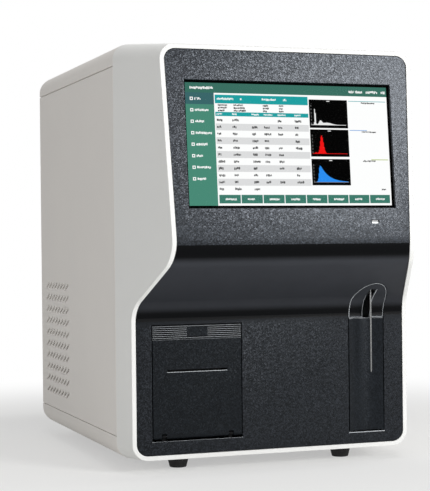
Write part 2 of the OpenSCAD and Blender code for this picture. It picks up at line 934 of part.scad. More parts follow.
module printer_door() {
  notch = ear_w + 2 * clear + 0.4;
  color(black_colour) place() difference() {
    union() {
      block(
        [door_x - door_w / 2, panel_recess, pin_z],
        [door_x + door_w / 2, panel_recess + door_t, bar_z - door_gap]
      );
      rod_along_x(pin_y, pin_z, door_x - door_w / 2, door_x + door_w / 2, 2 * barrel_r);
    }
    rod_along_x(pin_y, pin_z, door_x - door_w / 2 - past, door_x + door_w / 2 + past,
      hinge_pin_d + 2 * run_fit);
    for (side = [-1, 1])
      block(
        [door_x + side * ear_x - notch / 2, -past, door_z - past],
        [door_x + side * ear_x + notch / 2, panel_back + 6, pin_z + barrel_r + clear]
      );
    block_y(door_x, slot_z, paper_slot_w, paper_slot_h, -past, panel_back + past);
  }
}

module door_hinge_pin() {
  color(steel_colour) place()
    rod_along_x(pin_y, pin_z, door_x - ear_x - ear_w, door_x + ear_x + ear_w, hinge_pin_d);
}

// Ribbed bar that is pressed to free the door, on two stems
module release_bar() {
  pitch = bar_h / rib_count;
  rib_h = pitch * 0.55;
  color(black_colour) place() {
    block(
      [door_x - door_w / 2, panel_recess + rib_d, bar_z],
      [door_x + door_w / 2, panel_back, door_top_z]
    );
    for (i = [0 : rib_count - 1])
      block(
        [door_x - door_w / 2, panel_recess, bar_z + i * pitch],
        [door_x + door_w / 2, panel_back - past, bar_z + i * pitch + rib_h]
      );
    block(
      [door_x - pad_w / 2, panel_recess, bar_z + pitch],
      [door_x + pad_w / 2, panel_back - past, door_top_z - pitch]
    );
    for (side = [-1, 1])
      rod_along_y(door_x + side * stem_x, bar_mid_z, panel_back - past, panel_back + 12, stem_d);
  }
}

// Heated line head with a finned back
module print_head() {
  head_y = platen_y + platen_d / 2 + clear;
  head_w = cheek_gap - 2 * fit;
  fins = 6;
  fin_pitch = 2.8;
  color(steel_colour) place() {
    block([door_x - head_w / 2, head_y, slot_z - 9], [door_x + head_w / 2, head_y + 4, slot_z + 9]);
    for (i = [0 : fins - 1])
      block(
        [door_x - head_w / 2, head_y + 3, slot_z - 9 + i * fin_pitch],
        [door_x + head_w / 2, head_y + 10, slot_z - 9 + i * fin_pitch + 1.4]
      );
  }
}

module platen_roller() {
  half = cheek_gap / 2 + case_wall;
  color(rubber_colour) place() {
    rod_along_x(platen_y, slot_z, door_x - paper_w / 2, door_x + paper_w / 2, platen_d);
    rod_along_x(platen_y, slot_z, door_x - half - 3, door_x + half + 7, platen_shaft_d);
    translate([door_x + half + clear, platen_y, slot_z]) rotate([90, 0, 90]) spur_gear(18, 0.6, 5);
  }
}

// Gear with straight-sided teeth, drawn from its tooth count and module
module spur_gear(teeth, size, width) {
  pitch_r = teeth * size / 2;
  linear_extrude(width) {
    circle(pitch_r - size);
    for (i = [0 : teeth - 1]) rotate(i * 360 / teeth)
      polygon([
        [pitch_r - 2 * size, -0.9 * size], [pitch_r + size, -0.4 * size],
        [pitch_r + size, 0.4 * size], [pitch_r - 2 * size, 0.9 * size]
      ]);
  }
}

module paper_roll() {
  color(white_colour) place() difference() {
    rod_along_x(roll_y, roll_z, door_x - paper_w / 2, door_x + paper_w / 2, roll_d);
    rod_along_x(roll_y, roll_z, door_x - paper_w, door_x + paper_w, core_d);
  }
}

// Hollow-faced plate behind the needle, on two stems
module aspirate_key() {
  color(black_colour) place() {
    translate([key_x, 0, key_z]) linear_extrude(key_h) difference() {
      translate([-key_w / 2, panel_recess]) square([key_w, key_back - panel_recess]);
      translate([0, panel_recess + key_dip - key_curve_r]) circle(key_curve_r, $fn = 128);
    }
    for (z = key_stem_z) rod_along_y(key_x, z, key_back - past, key_plate_y + key_plate_t + 6, key_stem_d);
  }
}

module key_bracket() {
  low = key_z + 12;
  high = key_top_z - 12;
  color(steel_colour) place() difference() {
    block(
      [key_x - key_leg_x - key_leg_t, panel_back, low],
      [key_x + key_leg_x + key_leg_t, key_plate_y + key_plate_t, high]
    );
    block([key_x - key_leg_x, panel_back - past, low - past], [key_x + key_leg_x, key_plate_y, high + past]);
    for (z = key_stem_z)
      rod_along_y(key_x, z, key_plate_y - past, key_plate_y + key_plate_t + past, key_stem_d + 2 * run_fit);
  }
}

module key_switch() {
  tip_y = key_back + key_travel + clear;
  mid_z = (key_stem_z[0] + key_stem_z[1]) / 2;
  color(dark_colour) place() {
    block_y(key_x, mid_z, 20, 7, tip_y + 2, key_plate_y);
    block_y(key_x - 5, mid_z, 3, 2, tip_y, tip_y + 3);
  }
}

module sample_probe() {
  tip_z = key_top_z - probe_drop;
  tip_h = 2.5;
  color(steel_colour) place() translate([key_x, probe_y, tip_z]) {
    cylinder(d1 = probe_d * 0.6, d2 = probe_d, h = tip_h);
    translate([0, 0, tip_h]) cylinder(d = probe_d, h = carriage_z + carriage_h + 6 - tip_z - tip_h);
  }
}

module probe_carriage() {
  half = rod_x + rod_d / 2 + 3;
  arm_half = 6;
  color(black_colour) place() difference() {
    union() {
      block(
        [key_x - half, rod_y - 7, carriage_z],
        [key_x + half, screw_y + 7, carriage_z + carriage_h]
      );
      block(
        [key_x - arm_half, probe_y, carriage_z],
        [key_x + arm_half, rod_y, carriage_z + carriage_h]
      );
      rod_along_z(key_x, probe_y, carriage_z, carriage_z + carriage_h, 2 * arm_half);
    }
    for (side = [-1, 1])
      rod_along_z(key_x + side * rod_x, rod_y, carriage_z - past, carriage_z + carriage_h + past,
        rod_d + 2 * run_fit);
    rod_along_z(key_x, screw_y, carriage_z - past, carriage_z + carriage_h + past, lift_screw_d + 2 * run_fit);
    rod_along_z(key_x, probe_y, carriage_z - past, carriage_z + carriage_h + past, probe_d + 2 * run_fit);
  }
}

// Channel with two arms that hold the rods and the screw
module lift_bracket() {
  half = rod_x + rod_d / 2 + 5;
  back_t = 3;
  color(steel_colour) place() difference() {
    union() {
      block([key_x - half, chassis_y - back_t, lift_z], [key_x + half, chassis_y, lift_top_z]);
      block([key_x - half, rod_y - 9, lift_z], [key_x + half, chassis_y, lift_z + arm_t]);
      block([key_x - 9, probe_y - 9, lift_z], [key_x + 9, rod_y, lift_z + arm_t]);
      block([key_x - half, rod_y - 9, lift_top_z - arm_t], [key_x + half, chassis_y, lift_top_z]);
    }
    for (side = [-1, 1])
      rod_along_z(key_x + side * rod_x, rod_y, lift_z - past, lift_top_z + past, rod_d + 2 * run_fit);
    rod_along_z(key_x, screw_y, lift_z - past, lift_top_z + past, lift_screw_d + 2 * run_fit);
    rod_along_z(key_x, probe_y, lift_z - past, lift_z + arm_t + past, probe_d + 1);
  }
}

module lift_rods() {
  color(steel_colour) place()
    for (side = [-1, 1]) rod_along_z(key_x + side * rod_x, rod_y, lift_z, lift_top_z, rod_d);
}

module lift_screw() {
  color(steel_colour) place()
    rod_along_z(key_x, screw_y, lift_z, lift_top_z - clear, lift_screw_d);
}

// Square stepping motor with cut corners and round end cap
module step_motor(x, y, z, w, h) {
  cut = w * 0.12;
  translate([x, y, z]) {
    linear_extrude(h) difference() {
      square(w, center = true);
      for (turn = [0 : 90 : 270]) rotate(turn)
        polygon([[w / 2 - cut, w / 2 + past], [w / 2 + past, w / 2 + past], [w / 2 + past, w / 2 - cut]]);
    }
    translate([0, 0, h]) cylinder(d = w * 0.7, h = 3);
  }
}

module lift_motor() {
  color(dark_colour) place() step_motor(key_x, screw_y, lift_top_z, lift_motor_w, 32);
}

// Block that rinses the needle as it draws up
module probe_wash_block() {
  half = 7;
  color(white_colour) place() difference() {
    union() {
      block([key_x - half, probe_y - half, lift_z - wash_h], [key_x + half, probe_y + half, lift_z]);
      rod_along_x(probe_y, lift_z - wash_h / 2, key_x - half - 8, key_x + half + 8, 4);
    }
    rod_along_z(key_x, probe_y, lift_z - wash_h - past, lift_z + past, probe_d + 2 * clear);
  }
}

module bath_bracket() {
  half = 36;
  plate_h = 40;
  color(steel_colour) place() difference() {
    union() {
      block([bath_x - half, chassis_back, bath_z], [bath_x + half, chassis_back + shelf_t, bath_z + plate_h]);
      block([bath_x - half, chassis_back, bath_z], [bath_x + half, bath_y[1] + 26, bath_z + shelf_t]);
    }
    for (y = bath_y) rod_along_z(bath_x, y, bath_z - past, bath_z + shelf_t + past, 2 * (bath_r + fit));
  }
}

// Turned cup with a flange on the shelf, a coned floor and a drain
module counting_bath(y) {
  flange_r = bath_r + 3;
  flange_t = 3;
  drain_r = 2.5;
  drain_len = 8;
  cone_h = bath_r - drain_r;
  low = bath_z + shelf_t - bath_depth;
  translate([bath_x, y, 0]) rotate_extrude() polygon([
    [0, low - cone_h - drain_len], [drain_r, low - cone_h - drain_len], [drain_r, low - cone_h],
    [bath_r, low], [bath_r, bath_z + shelf_t], [flange_r, bath_z + shelf_t],
    [flange_r, bath_z + shelf_t + flange_t], [bath_r - bath_wall, bath_z + shelf_t + flange_t],
    [bath_r - bath_wall, low + bath_wall], [0, low - cone_h + 2 * bath_wall]
  ]);
}

module wbc_bath() {
  color(clear_colour) place() counting_bath(bath_y[0]);
}

module rbc_bath() {
  color(clear_colour) place() counting_bath(bath_y[1]);
}

module syringe_frame() {
  half = syringe_pitch / 2 + barrel_d / 2 + 6;
  arm_end = syringe_y + barrel_d / 2 + 6;
  back_t = 3;
  color(steel_colour) place() difference() {
    union() {
      block([syringe_x - half, chassis_back, syringe_z], [syringe_x + half, chassis_back + back_t, barrel_z + barrel_h]);
      block([syringe_x - half, chassis_back, syringe_z], [syringe_x + half, arm_end, syringe_z + arm_t]);
      block([syringe_x - half, chassis_back, barrel_z - arm_t], [syringe_x + half, arm_end, barrel_z]);
    }
    rod_along_z(syringe_x, syringe_y, syringe_z - past, barrel_z + past, syringe_screw_d + 2 * run_fit);
    for (side = [-1, 1])
      rod_along_z(syringe_x + side * syringe_pitch / 2, syringe_y, barrel_z - arm_t - past, barrel_z + past,
        plunger_rod_d + 2 * clear);
  }
}

module syringe_barrels() {
  cap_t = 6;
  color(clear_colour) place()
    for (side = [-1, 1]) translate([syringe_x + side * syringe_pitch / 2, syringe_y, barrel_z]) difference() {
      union() {
        cylinder(d = barrel_d, h = barrel_h + cap_t);
        cylinder(d = 4, h = barrel_h + cap_t + 10);
      }
      translate([0, 0, -past]) cylinder(d = barrel_d - 2 * barrel_wall, h = barrel_h + past);
    }
}

module syringe_plungers() {
  half = syringe_pitch / 2 + 9;
  color(steel_colour) place() {
    difference() {
      block(
        [syringe_x - half, syringe_y - 9, head_z],
        [syringe_x + half, syringe_y + 9, head_z + head_h]
      );
      rod_along_z(syringe_x, syringe_y, head_z - past, head_z + head_h + past, syringe_screw_d + 2 * run_fit);
    }
    for (side = [-1, 1]) {
      rod_along_z(syringe_x + side * syringe_pitch / 2, syringe_y, head_z + head_h - past, piston_z + past,
        plunger_rod_d);
      rod_along_z(syringe_x + side * syringe_pitch / 2, syringe_y, piston_z, piston_z + piston_h,
        barrel_d - 2 * barrel_wall - 2 * run_fit);
    }
  }
}

module syringe_screw() {
  color(steel_colour) place()
    rod_along_z(syringe_x, syringe_y, syringe_z + clear, barrel_z, syringe_screw_d);
}

module syringe_motor() {
  color(dark_colour) place() mirror([0, 0, 1])
    step_motor(syringe_x, syringe_y, -syringe_z, syringe_motor_w, 34);
}

// Bar that joins the valves
module valve_manifold() {
  color(white_colour) place() block(
    [valve_x - 9, chassis_back, valve_z],
    [valve_x + (valve_count - 1) * valve_pitch + 9, chassis_back + 24, valve_z + valve_bar_h]
  );
}

module solenoid_valves() {
  w = valve_pitch - 3;
  color(dark_colour) place()
    for (i = [0 : valve_count - 1]) translate([valve_x + i * valve_pitch, chassis_back + 12, valve_z + valve_bar_h]) {
      translate([-w / 2, -9, 0]) cube([w, 18, 26]);
      cylinder(d = 6, h = 32);
    }
}

// Turned bottle with a shoulder and a screw cap
module vacuum_bottle() {
  r = bottle_r;
  h = 95;
  neck_r = 16;
  color(clear_colour) place() translate([bottle_x, chassis_back + 145, floor_z]) rotate_extrude() polygon([
    [0, 0], [r - 3, 0], [r, 3], [r, h - 18], [neck_r, h - 6], [neck_r, h], [neck_r + 3, h],
    [neck_r + 3, h + 14], [0, h + 14]
  ]);
}

// Small pump: a cylindrical motor with its head, on a foot
module diaphragm_pump() {
  x = pump_x;
  y0 = chassis_back + 90;
  r = 17;
  axis_z = floor_z + 24;
  color(dark_colour) place() {
    block([x - 20, y0, floor_z], [x + 20, y0 + 84, floor_z + 9]);
    rod_along_y(x, axis_z, y0 + 30, y0 + 84, 2 * r);
    block([x - 20, y0, floor_z], [x + 20, y0 + 32, axis_z + 20]);
    rod_along_z(x, y0 + 14, axis_z + 19, axis_z + 28, 26);
  }
}

// Open-frame mains supply in a slotted case
module power_supply() {
  x0 = supply_x;
  w = 98;
  y0 = body_d - 175;
  len = 150;
  h = 40;
  slots = 12;
  color(steel_colour) place() difference() {
    block([x0, y0, floor_z], [x0 + w, y0 + len, floor_z + h]);
    for (i = [0 : slots - 1])
      block(
        [x0 + 14, y0 + 12 + i * 11, floor_z + h - 2],
        [x0 + w - 14, y0 + 16 + i * 11, floor_z + h + past]
      );
  }
}

module main_board() {
  color(board_colour) place() {
    block([board_x, board_y, board_z], [board_x + board_w, board_y + board_t, board_z + board_h]);
    for (chip = [[50, 90, 30], [100, 100, 22], [110, 60, 16], [40, 50, 18]])
      block_y(board_x + chip[0], board_z + chip[1], chip[2], chip[2], board_y - 2.5, board_y);
    for (x = [20, 34, 48]) rod_along_y(board_x + x, board_z + 135, board_y - 14, board_y, 10);
  }
}

module board_standoffs() {
  color(steel_colour) place()
    for (x = standoff_x, z = standoff_z) rod_along_y(x, z, board_y + board_t, rear_in_y, 6);
}

// Sockets that stand on the board and show through the rear panel
module data_ports() {
  shell = 0.8;
  depth = 14;
  color(steel_colour) place() for (p = ports) difference() {
    block_y(p[0], port_z, p[1], p[2], board_y + board_t, body_d + 0.5);
    block_y(p[0], port_z, p[1] - 2 * shell, p[2] - 2 * shell, body_d + 0.5 - depth, body_d + past);
  }
}

// Flanged mains inlet, open at the back for the lead's connector
module power_inlet() {
  ear = 10;
  color(dark_colour) place() difference() {
    union() {
      run_y(body_d, body_d + inlet_flange_t) round_rect(
        inlet_x - inlet_w / 2 - ear, inlet_x + inlet_w / 2 + ear,
        inlet_z - inlet_h / 2 - 2, inlet_z + inlet_h / 2 + 2, 4
      );
      block_y(inlet_x, inlet_z, inlet_w, inlet_h, body_d - inlet_body_t, body_d + past);
    }
    block_y(inlet_x, inlet_z, cavity_w, cavity_h, cavity_y, body_d + inlet_flange_t + past);
  }
}

// Three blades that stand on the inlet's floor
module inlet_blades() {
  color(steel_colour) place() for (blade = [[-7, 2.5], [0, 5.2], [7, 2.5]])
    block_y(inlet_x + blade[0], inlet_z + blade[1], 2, 4, cavity_y, body_d + inlet_flange_t - 4);
}

// Bezel and cup that the rocker turns in
module switch_housing() {
  cup_t = 20;
  color(dark_colour) place() difference() {
    union() {
      run_y(body_d, body_d + 1.5) round_rect(
        rocker_x - switch_w / 2 - 2, rocker_x + switch_w / 2 + 2,
        inlet_z - switch_h / 2 - 2, inlet_z + switch_h / 2 + 2, 2
      );
      block_y(rocker_x, inlet_z, switch_w, switch_h, body_d - cup_t, body_d + past);
    }
    block_y(rocker_x, inlet_z, rocker_w + 2 * clear, rocker_h + 2 * clear, body_d - cup_t + 2, body_d + 2 * past);
    rod_along_x(rocker_axis_y, inlet_z, rocker_x - rocker_w / 2 - 1.6, rocker_x + rocker_w / 2 + 1.6,
      rocker_pivot_d + 2 * run_fit);
  }
}

// Rocker with two sloping faces, at rest pressed at its foot
module rocker_outline() {
  reach = rocker_h / 2 - 0.9;
  polygon([[3.2, 0], [4.6, reach], [-1, reach - 0.6], [-5, 3], [-5, -3], [-1, -reach + 0.6], [4.6, -reach]]);
}

module power_rocker() {
  color(rubber_colour) place() translate([rocker_x, rocker_axis_y, inlet_z]) {
    rotate([-rocker_tilt, 0, 0]) run_x(-rocker_w / 2, rocker_w / 2) rocker_outline();
    rod_along_x(0, 0, -rocker_w / 2 - 1.4, rocker_w / 2 + 1.4, rocker_pivot_d);
  }
}

module fan_frame() {
  hub_t = 4;
  front = rear_in_y - fan_t;
  color(dark_colour) place() {
    difference() {
      block_y(fan_x, fan_z, fan_w, fan_w, front, rear_in_y);
      rod_along_y(fan_x, fan_z, front - past, rear_in_y + past, fan_blade_d + 4);
    }
    for (turn = [45 : 90 : 315]) translate([fan_x, 0, fan_z]) rotate([0, turn, 0])
      block([0, front, -2], [fan_blade_d / 2 + 4, front + hub_t, 2]);
    rod_along_y(fan_x, fan_z, front, front + hub_t, fan_hub_d);
    rod_along_y(fan_x, fan_z, front, rear_in_y - 4, fan_stub_d);
  }
}

// Hub with pitched blades on the frame's stub
module fan_rotor() {
  front = rear_in_y - fan_t + 4 + clear;
  back = rear_in_y - 2;
  pitch = 38;
  blade_t = 1.6;
  color(rubber_colour) place() difference() {
    union() {
      rod_along_y(fan_x, fan_z, front, back, fan_hub_d);
      intersection() {
        rod_along_y(fan_x, fan_z, front, back, fan_blade_d);
        for (i = [0 : fan_blades - 1]) translate([fan_x, (front + back) / 2, fan_z])
          rotate([0, i * 360 / fan_blades, 0]) rotate([pitch, 0, 0])
            block([fan_hub_d / 2 - 2, -fan_t, -blade_t / 2], [fan_blade_d, fan_t, blade_t / 2]);
      }
    }
    rod_along_y(fan_x, fan_z, front - past, rear_in_y - 4 + clear, fan_stub_d + 2 * run_fit);
  }
}

// Wire guard: rings on a cross of bars, held by four eyes
module fan_guard() {
  wire = 1.6;
  hole = 32;
  color(steel_colour) place() translate([fan_x, body_d + wire / 2, fan_z]) rotate([-90, 0, 0]) {
    for (r = [10, 18, 26, 34]) rotate_extrude() translate([r, 0]) square(wire, center = true);
    for (turn = [45, 135]) rotate(turn) cube([2 * hole * sqrt(2), wire, wire], center = true);
    for (turn = [45 : 90 : 315]) rotate(turn) translate([hole * sqrt(2), 0, -wire / 2]) cylinder(d = 6, h = wire);
  }
}

// Hose spigots with hexagon shoulders
module reagent_fittings() {
  color(steel_colour) place()
    for (i = [0 : 3]) translate([spigot_x - i * spigot_pitch, 0, spigot_z]) {
      translate([0, body_d + hex_t, 0]) rotate([90, 0, 0]) cylinder(d = hex_d, h = hex_t, $fn = 6);
      rod_along_y(0, 0, body_d, body_d + spigot_len, spigot_d);
      rod_along_y(0, 0, rear_in_y - 10, body_d + past, spigot_neck_d);
    }
}

base_tray();
top_cover();
left_side_panel();
right_side_panel();
rear_panel();
connector_panel();
front_frame();
front_panel();
probe_shroud();
rubber_feet();
rear_screws();
chassis_plate();
touch_glass();
lcd_module();
display_bracket();
status_light();
printer_case();
printer_door();
door_hinge_pin();
release_bar();
print_head();
platen_roller();
paper_roll();
aspirate_key();
key_bracket();
key_switch();
sample_probe();
probe_carriage();
lift_bracket();
lift_rods();
lift_screw();
lift_motor();
probe_wash_block();
bath_bracket();
wbc_bath();
rbc_bath();
syringe_frame();
syringe_barrels();
syringe_plungers();
syringe_screw();
syringe_motor();
valve_manifold();
solenoid_valves();
vacuum_bottle();
diaphragm_pump();
power_supply();
main_board();
board_standoffs();
data_ports();
port_plate();
power_inlet();
inlet_blades();
switch_housing();
power_rocker();
fan_frame();
fan_rotor();
fan_guard();
reagent_fittings();
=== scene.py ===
"""Looks of a bench-top blood cell analyzer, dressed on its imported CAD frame."""
import json
import math
import random

import bmesh
import bpy
from mathutils import Matrix, Vector


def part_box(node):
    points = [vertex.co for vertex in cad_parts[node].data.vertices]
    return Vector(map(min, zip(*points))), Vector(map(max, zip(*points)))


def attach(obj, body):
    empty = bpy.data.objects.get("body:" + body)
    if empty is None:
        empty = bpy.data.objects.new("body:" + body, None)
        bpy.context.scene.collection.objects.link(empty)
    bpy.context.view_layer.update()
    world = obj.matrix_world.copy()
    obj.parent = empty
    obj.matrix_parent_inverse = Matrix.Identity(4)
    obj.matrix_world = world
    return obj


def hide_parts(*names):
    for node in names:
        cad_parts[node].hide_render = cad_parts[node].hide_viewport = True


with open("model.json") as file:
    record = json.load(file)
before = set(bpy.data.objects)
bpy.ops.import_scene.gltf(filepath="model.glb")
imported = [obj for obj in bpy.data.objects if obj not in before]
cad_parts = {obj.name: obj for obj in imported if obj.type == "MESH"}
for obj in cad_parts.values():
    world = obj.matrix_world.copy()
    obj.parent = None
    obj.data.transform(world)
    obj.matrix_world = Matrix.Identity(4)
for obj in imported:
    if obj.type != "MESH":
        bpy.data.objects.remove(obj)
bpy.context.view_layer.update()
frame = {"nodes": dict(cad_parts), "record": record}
nodes = frame["nodes"]
record = frame["record"]
node_slot = {row["node"]: row["material_slot"] for row in record["subparts"]}
node_body = {name: body for body, names in record["behaviour"]["bodies"].items() for name in names}
scene = bpy.context.scene

MM = 0.001
# Range that most values of a noise texture lie in
NOISE_LOW, NOISE_HIGH = 0.3, 0.7
# Heights on the black panel: its grain dies away between the first two, and it is half polished from the
# second, fully polished from the third and grained again from the fourth
FADE_FROM, HALF_FROM, POLISHED_FROM, POLISHED_TO = 150 * MM, 157 * MM, 159.6 * MM, 234.5 * MM
# Foot and head of the slope in the polished part, which is painted paler there as a painted sheen
SLOPE_LOW, SLOPE_HIGH = 164 * MM, 223.5 * MM


# Colours and nodes

def linear(hex_colour):
    """Linear colour of an sRGB hex value."""
    out = []
    for i in (1, 3, 5):
        c = int(hex_colour[i:i + 2], 16) / 255
        out.append(c / 12.92 if c <= 0.04045 else ((c + 0.055) / 1.055) ** 2.4)
    return (*out, 1.0)


def add(tree, kind, values=None, links=None, **settings):
    """Adds a node with its settings, its input values and links into it."""
    node = tree.nodes.new(kind)
    for name, value in settings.items():
        setattr(node, name, value)
    for key, value in (values or {}).items():
        node.inputs[key].default_value = value
    for key, socket in (links or {}).items():
        tree.links.new(socket, node.inputs[key])
    return node


def empty_material(name):
    """A new material with no nodes, and its tree."""
    material = bpy.data.materials.new(name)
    material.use_nodes = True
    material.node_tree.nodes.clear()
    return material, material.node_tree


# Finishes

def grained_finish(name, pale, deep, roughness, grain_mm, depth_mm, cloud_mm=70.0, constants=None):
    """A moulded, painted or plated surface: a faint cloud in its colour, and a grain in its height and gloss.
    roughness is its least and greatest value, and constants go straight onto the shader's sockets."""
    material, tree = empty_material(name)
    place = add(tree, "ShaderNodeTexCoord").outputs["Object"]
    cloud = add(tree, "ShaderNodeTexNoise", {"Scale": 1 / (cloud_mm * MM), "Detail": 2.0}, {"Vector": place})
    grain = add(tree, "ShaderNodeTexNoise", {"Scale": 1 / (grain_mm * MM), "Detail": 2.0}, {"Vector": place})
    colour = add(
        tree, "ShaderNodeMix", {6: linear(deep), 7: linear(pale)}, {0: cloud.outputs["Fac"]}, data_type="RGBA"
    )
    gloss = add(
        tree, "ShaderNodeMapRange",
        {"From Min": NOISE_LOW, "From Max": NOISE_HIGH, "To Min": roughness[0], "To Max": roughness[1]},
        {"Value": grain.outputs["Fac"]},
    )
    bump = add(
        tree, "ShaderNodeBump", {"Strength": 1.0, "Distance": depth_mm * MM}, {"Height": grain.outputs["Fac"]}
    )
    shader = add(
        tree, "ShaderNodeBsdfPrincipled", constants,
        {"Base Color": colour.outputs[2], "Roughness": gloss.outputs[0], "Normal": bump.outputs[0]},
    )
    add(tree, "ShaderNodeOutputMaterial", None, {"Surface": shader.outputs[0]})
    return material


def spark_grained_black(name, pale, deep, grain_mm, tilt, roughness, specular, dies_at=None):
    """Black ABS from a spark-eroded mould: facets of grain_mm, tilted at random, which differ in colour and
    gloss and glint one by one. Where dies_at gives two heights, the grain dies away from the lower to the
    upper one."""
    # Share of the facets that are fully dark
    dark_share = 0.35
    material, tree = empty_material(name)
    place = add(tree, "ShaderNodeTexCoord").outputs["Object"]
    facets = add(tree, "ShaderNodeTexVoronoi", {"Scale": 1 / (grain_mm * MM)}, {"Vector": place})
    chance = facets.outputs["Color"]
    lean = add(tree, "ShaderNodeVectorMath", {1: (0.5, 0.5, 0.5)}, {0: chance}, operation="SUBTRACT")
    tilted = add(tree, "ShaderNodeVectorMath", {"Scale": tilt}, {0: lean.outputs[0]}, operation="SCALE")
    draw = add(tree, "ShaderNodeSeparateXYZ", None, {0: chance}).outputs["X"]
    paleness = add(
        tree, "ShaderNodeMapRange", {"From Min": dark_share, "From Max": 1.0}, {"Value": draw}
    ).outputs[0]
    if dies_at:
        height = add(tree, "ShaderNodeSeparateXYZ", None, {0: place}).outputs["Z"]
        whole = add(
            tree, "ShaderNodeMapRange", {"From Min": dies_at[1], "From Max": dies_at[0]}, {"Value": height}
        ).outputs[0]
        depth = add(tree, "ShaderNodeMath", {1: tilt}, {0: whole}, operation="MULTIPLY")
        tree.links.new(depth.outputs[0], tilted.inputs["Scale"])
        paleness = add(
            tree, "ShaderNodeMath", None, {0: paleness, 1: whole}, operation="MULTIPLY"
        ).outputs[0]
    flat = add(tree, "ShaderNodeNewGeometry").outputs["Normal"]
    turned_out = add(tree, "ShaderNodeVectorMath", None, {0: flat, 1: tilted.outputs[0]}, operation="ADD")
    facing = add(tree, "ShaderNodeVectorMath", None, {0: turned_out.outputs[0]}, operation="NORMALIZE")
    colour = add(tree, "ShaderNodeMix", {6: linear(deep), 7: linear(pale)}, {0: paleness}, data_type="RGBA")
    gloss = add(
        tree, "ShaderNodeMapRange", {"To Min": roughness[1], "To Max": roughness[0]}, {"Value": paleness}
    )
    shader = add(
        tree, "ShaderNodeBsdfPrincipled",
        {"Specular IOR Level": specular, "Specular Tint": linear("#eef5ff")},
        {"Base Color": colour.outputs[2], "Roughness": gloss.outputs[0], "Normal": facing.outputs[0]},
    )
    add(tree, "ShaderNodeOutputMaterial", None, {"Surface": shader.outputs[0]})
    return material


def polished_finish(name, specular, painted_sheen_low, painted_sheen_high):
    """Black ABS from a smooth mould: deep and even on the two bends; on the slope between these two heights
    it is rougher and painted paler, a painted sheen for the light the slope catches."""
    # Height over which the painted sheen fades out at both ends, and its strength at the slope's foot and
    # head
    fade = 8 * MM
    at_foot, at_head = 0.7, 1.05
    # Size of the faint cloud in it, and how far that dims it
    cloud_size = 25 * MM
    least, most = 0.9, 1.0
    material, tree = empty_material(name)
    place = add(tree, "ShaderNodeTexCoord").outputs["Object"]
    height = add(tree, "ShaderNodeSeparateXYZ", None, {0: place}).outputs["Z"]
    above = add(
        tree, "ShaderNodeMapRange", {"From Min": painted_sheen_low, "From Max": painted_sheen_low + fade},
        {"Value": height}, interpolation_type="SMOOTHSTEP",
    )
    below = add(
        tree, "ShaderNodeMapRange", {"From Min": painted_sheen_high, "From Max": painted_sheen_high - fade},
        {"Value": height}, interpolation_type="SMOOTHSTEP",
    )
    painted_sheen = add(
        tree, "ShaderNodeMath", None, {0: above.outputs[0], 1: below.outputs[0]}, operation="MULTIPLY"
    )
    cloud = add(tree, "ShaderNodeTexNoise", {"Scale": 1 / cloud_size, "Detail": 2.0}, {"Vector": place})
    uneven = add(
        tree, "ShaderNodeMapRange",
        {"From Min": NOISE_LOW, "From Max": NOISE_HIGH, "To Min": least, "To Max": most},
        {"Value": cloud.outputs["Fac"]},
    )
    climb = add(
        tree, "ShaderNodeMapRange",
        {"From Min": painted_sheen_low + fade, "From Max": painted_sheen_high - fade, "To Min": at_foot, "To Max": at_head},
        {"Value": height},
    )
    strength = add(
        tree, "ShaderNodeMath", None, {0: uneven.outputs[0], 1: climb.outputs[0]}, operation="MULTIPLY"
    )
    paleness = add(
        tree, "ShaderNodeMath", None, {0: painted_sheen.outputs[0], 1: strength.outputs[0]}, operation="MULTIPLY"
    )
    colour = add(
        tree, "ShaderNodeMix", {6: linear("#07080a"), 7: linear("#393b40")}, {0: paleness.outputs[0]},
        data_type="RGBA",
    )
    gloss = add(tree, "ShaderNodeMapRange", {"To Min": 0.26, "To Max": 0.36}, {"Value": paleness.outputs[0]})
    shader = add(
        tree, "ShaderNodeBsdfPrincipled", {"Specular IOR Level": specular},
        {"Base Color": colour.outputs[2], "Roughness": gloss.outputs[0]},
    )
    add(tree, "ShaderNodeOutputMaterial", None, {"Surface": shader.outputs[0]})
    return material


def touch_glass_finish():
    """Cover glass with an etched, anti-reflective front: clear, with almost no mirror image."""
    material, tree = empty_material("etched_cover_glass")
    place = add(tree, "ShaderNodeTexCoord").outputs["Object"]
    etch = add(tree, "ShaderNodeTexNoise", {"Scale": 1 / (0.6 * MM), "Detail": 1.0}, {"Vector": place})
    gloss = add(
        tree, "ShaderNodeMapRange", {"To Min": 0.22, "To Max": 0.3}, {"Value": etch.outputs["Fac"]}
    )
    shader = add(
        tree, "ShaderNodeBsdfPrincipled",
        {"Base Color": linear("#fbfdfc"), "Transmission Weight": 1.0, "IOR": 1.02},
        {"Roughness": gloss.outputs[0]},
    )
    add(tree, "ShaderNodeOutputMaterial", None, {"Surface": shader.outputs[0]})
    return material


def clear_moulding():
    """Clear acrylic and polypropylene vessels, faintly blue where thick."""
    material, tree = empty_material("clear_acrylic")
    place = add(tree, "ShaderNodeTexCoord").outputs["Object"]
    haze = add(tree, "ShaderNodeTexNoise", {"Scale": 1 / (12 * MM), "Detail": 2.0}, {"Vector": place})
    gloss = add(
        tree, "ShaderNodeMapRange", {"To Min": 0.04, "To Max": 0.16}, {"Value": haze.outputs["Fac"]}
    )
    shader = add(
        tree, "ShaderNodeBsdfPrincipled",
        {"Base Color": linear("#dfeaec"), "Transmission Weight": 0.9, "IOR": 1.49},
        {"Roughness": gloss.outputs[0]},
    )
    add(tree, "ShaderNodeOutputMaterial", None, {"Surface": shader.outputs[0]})
    return material


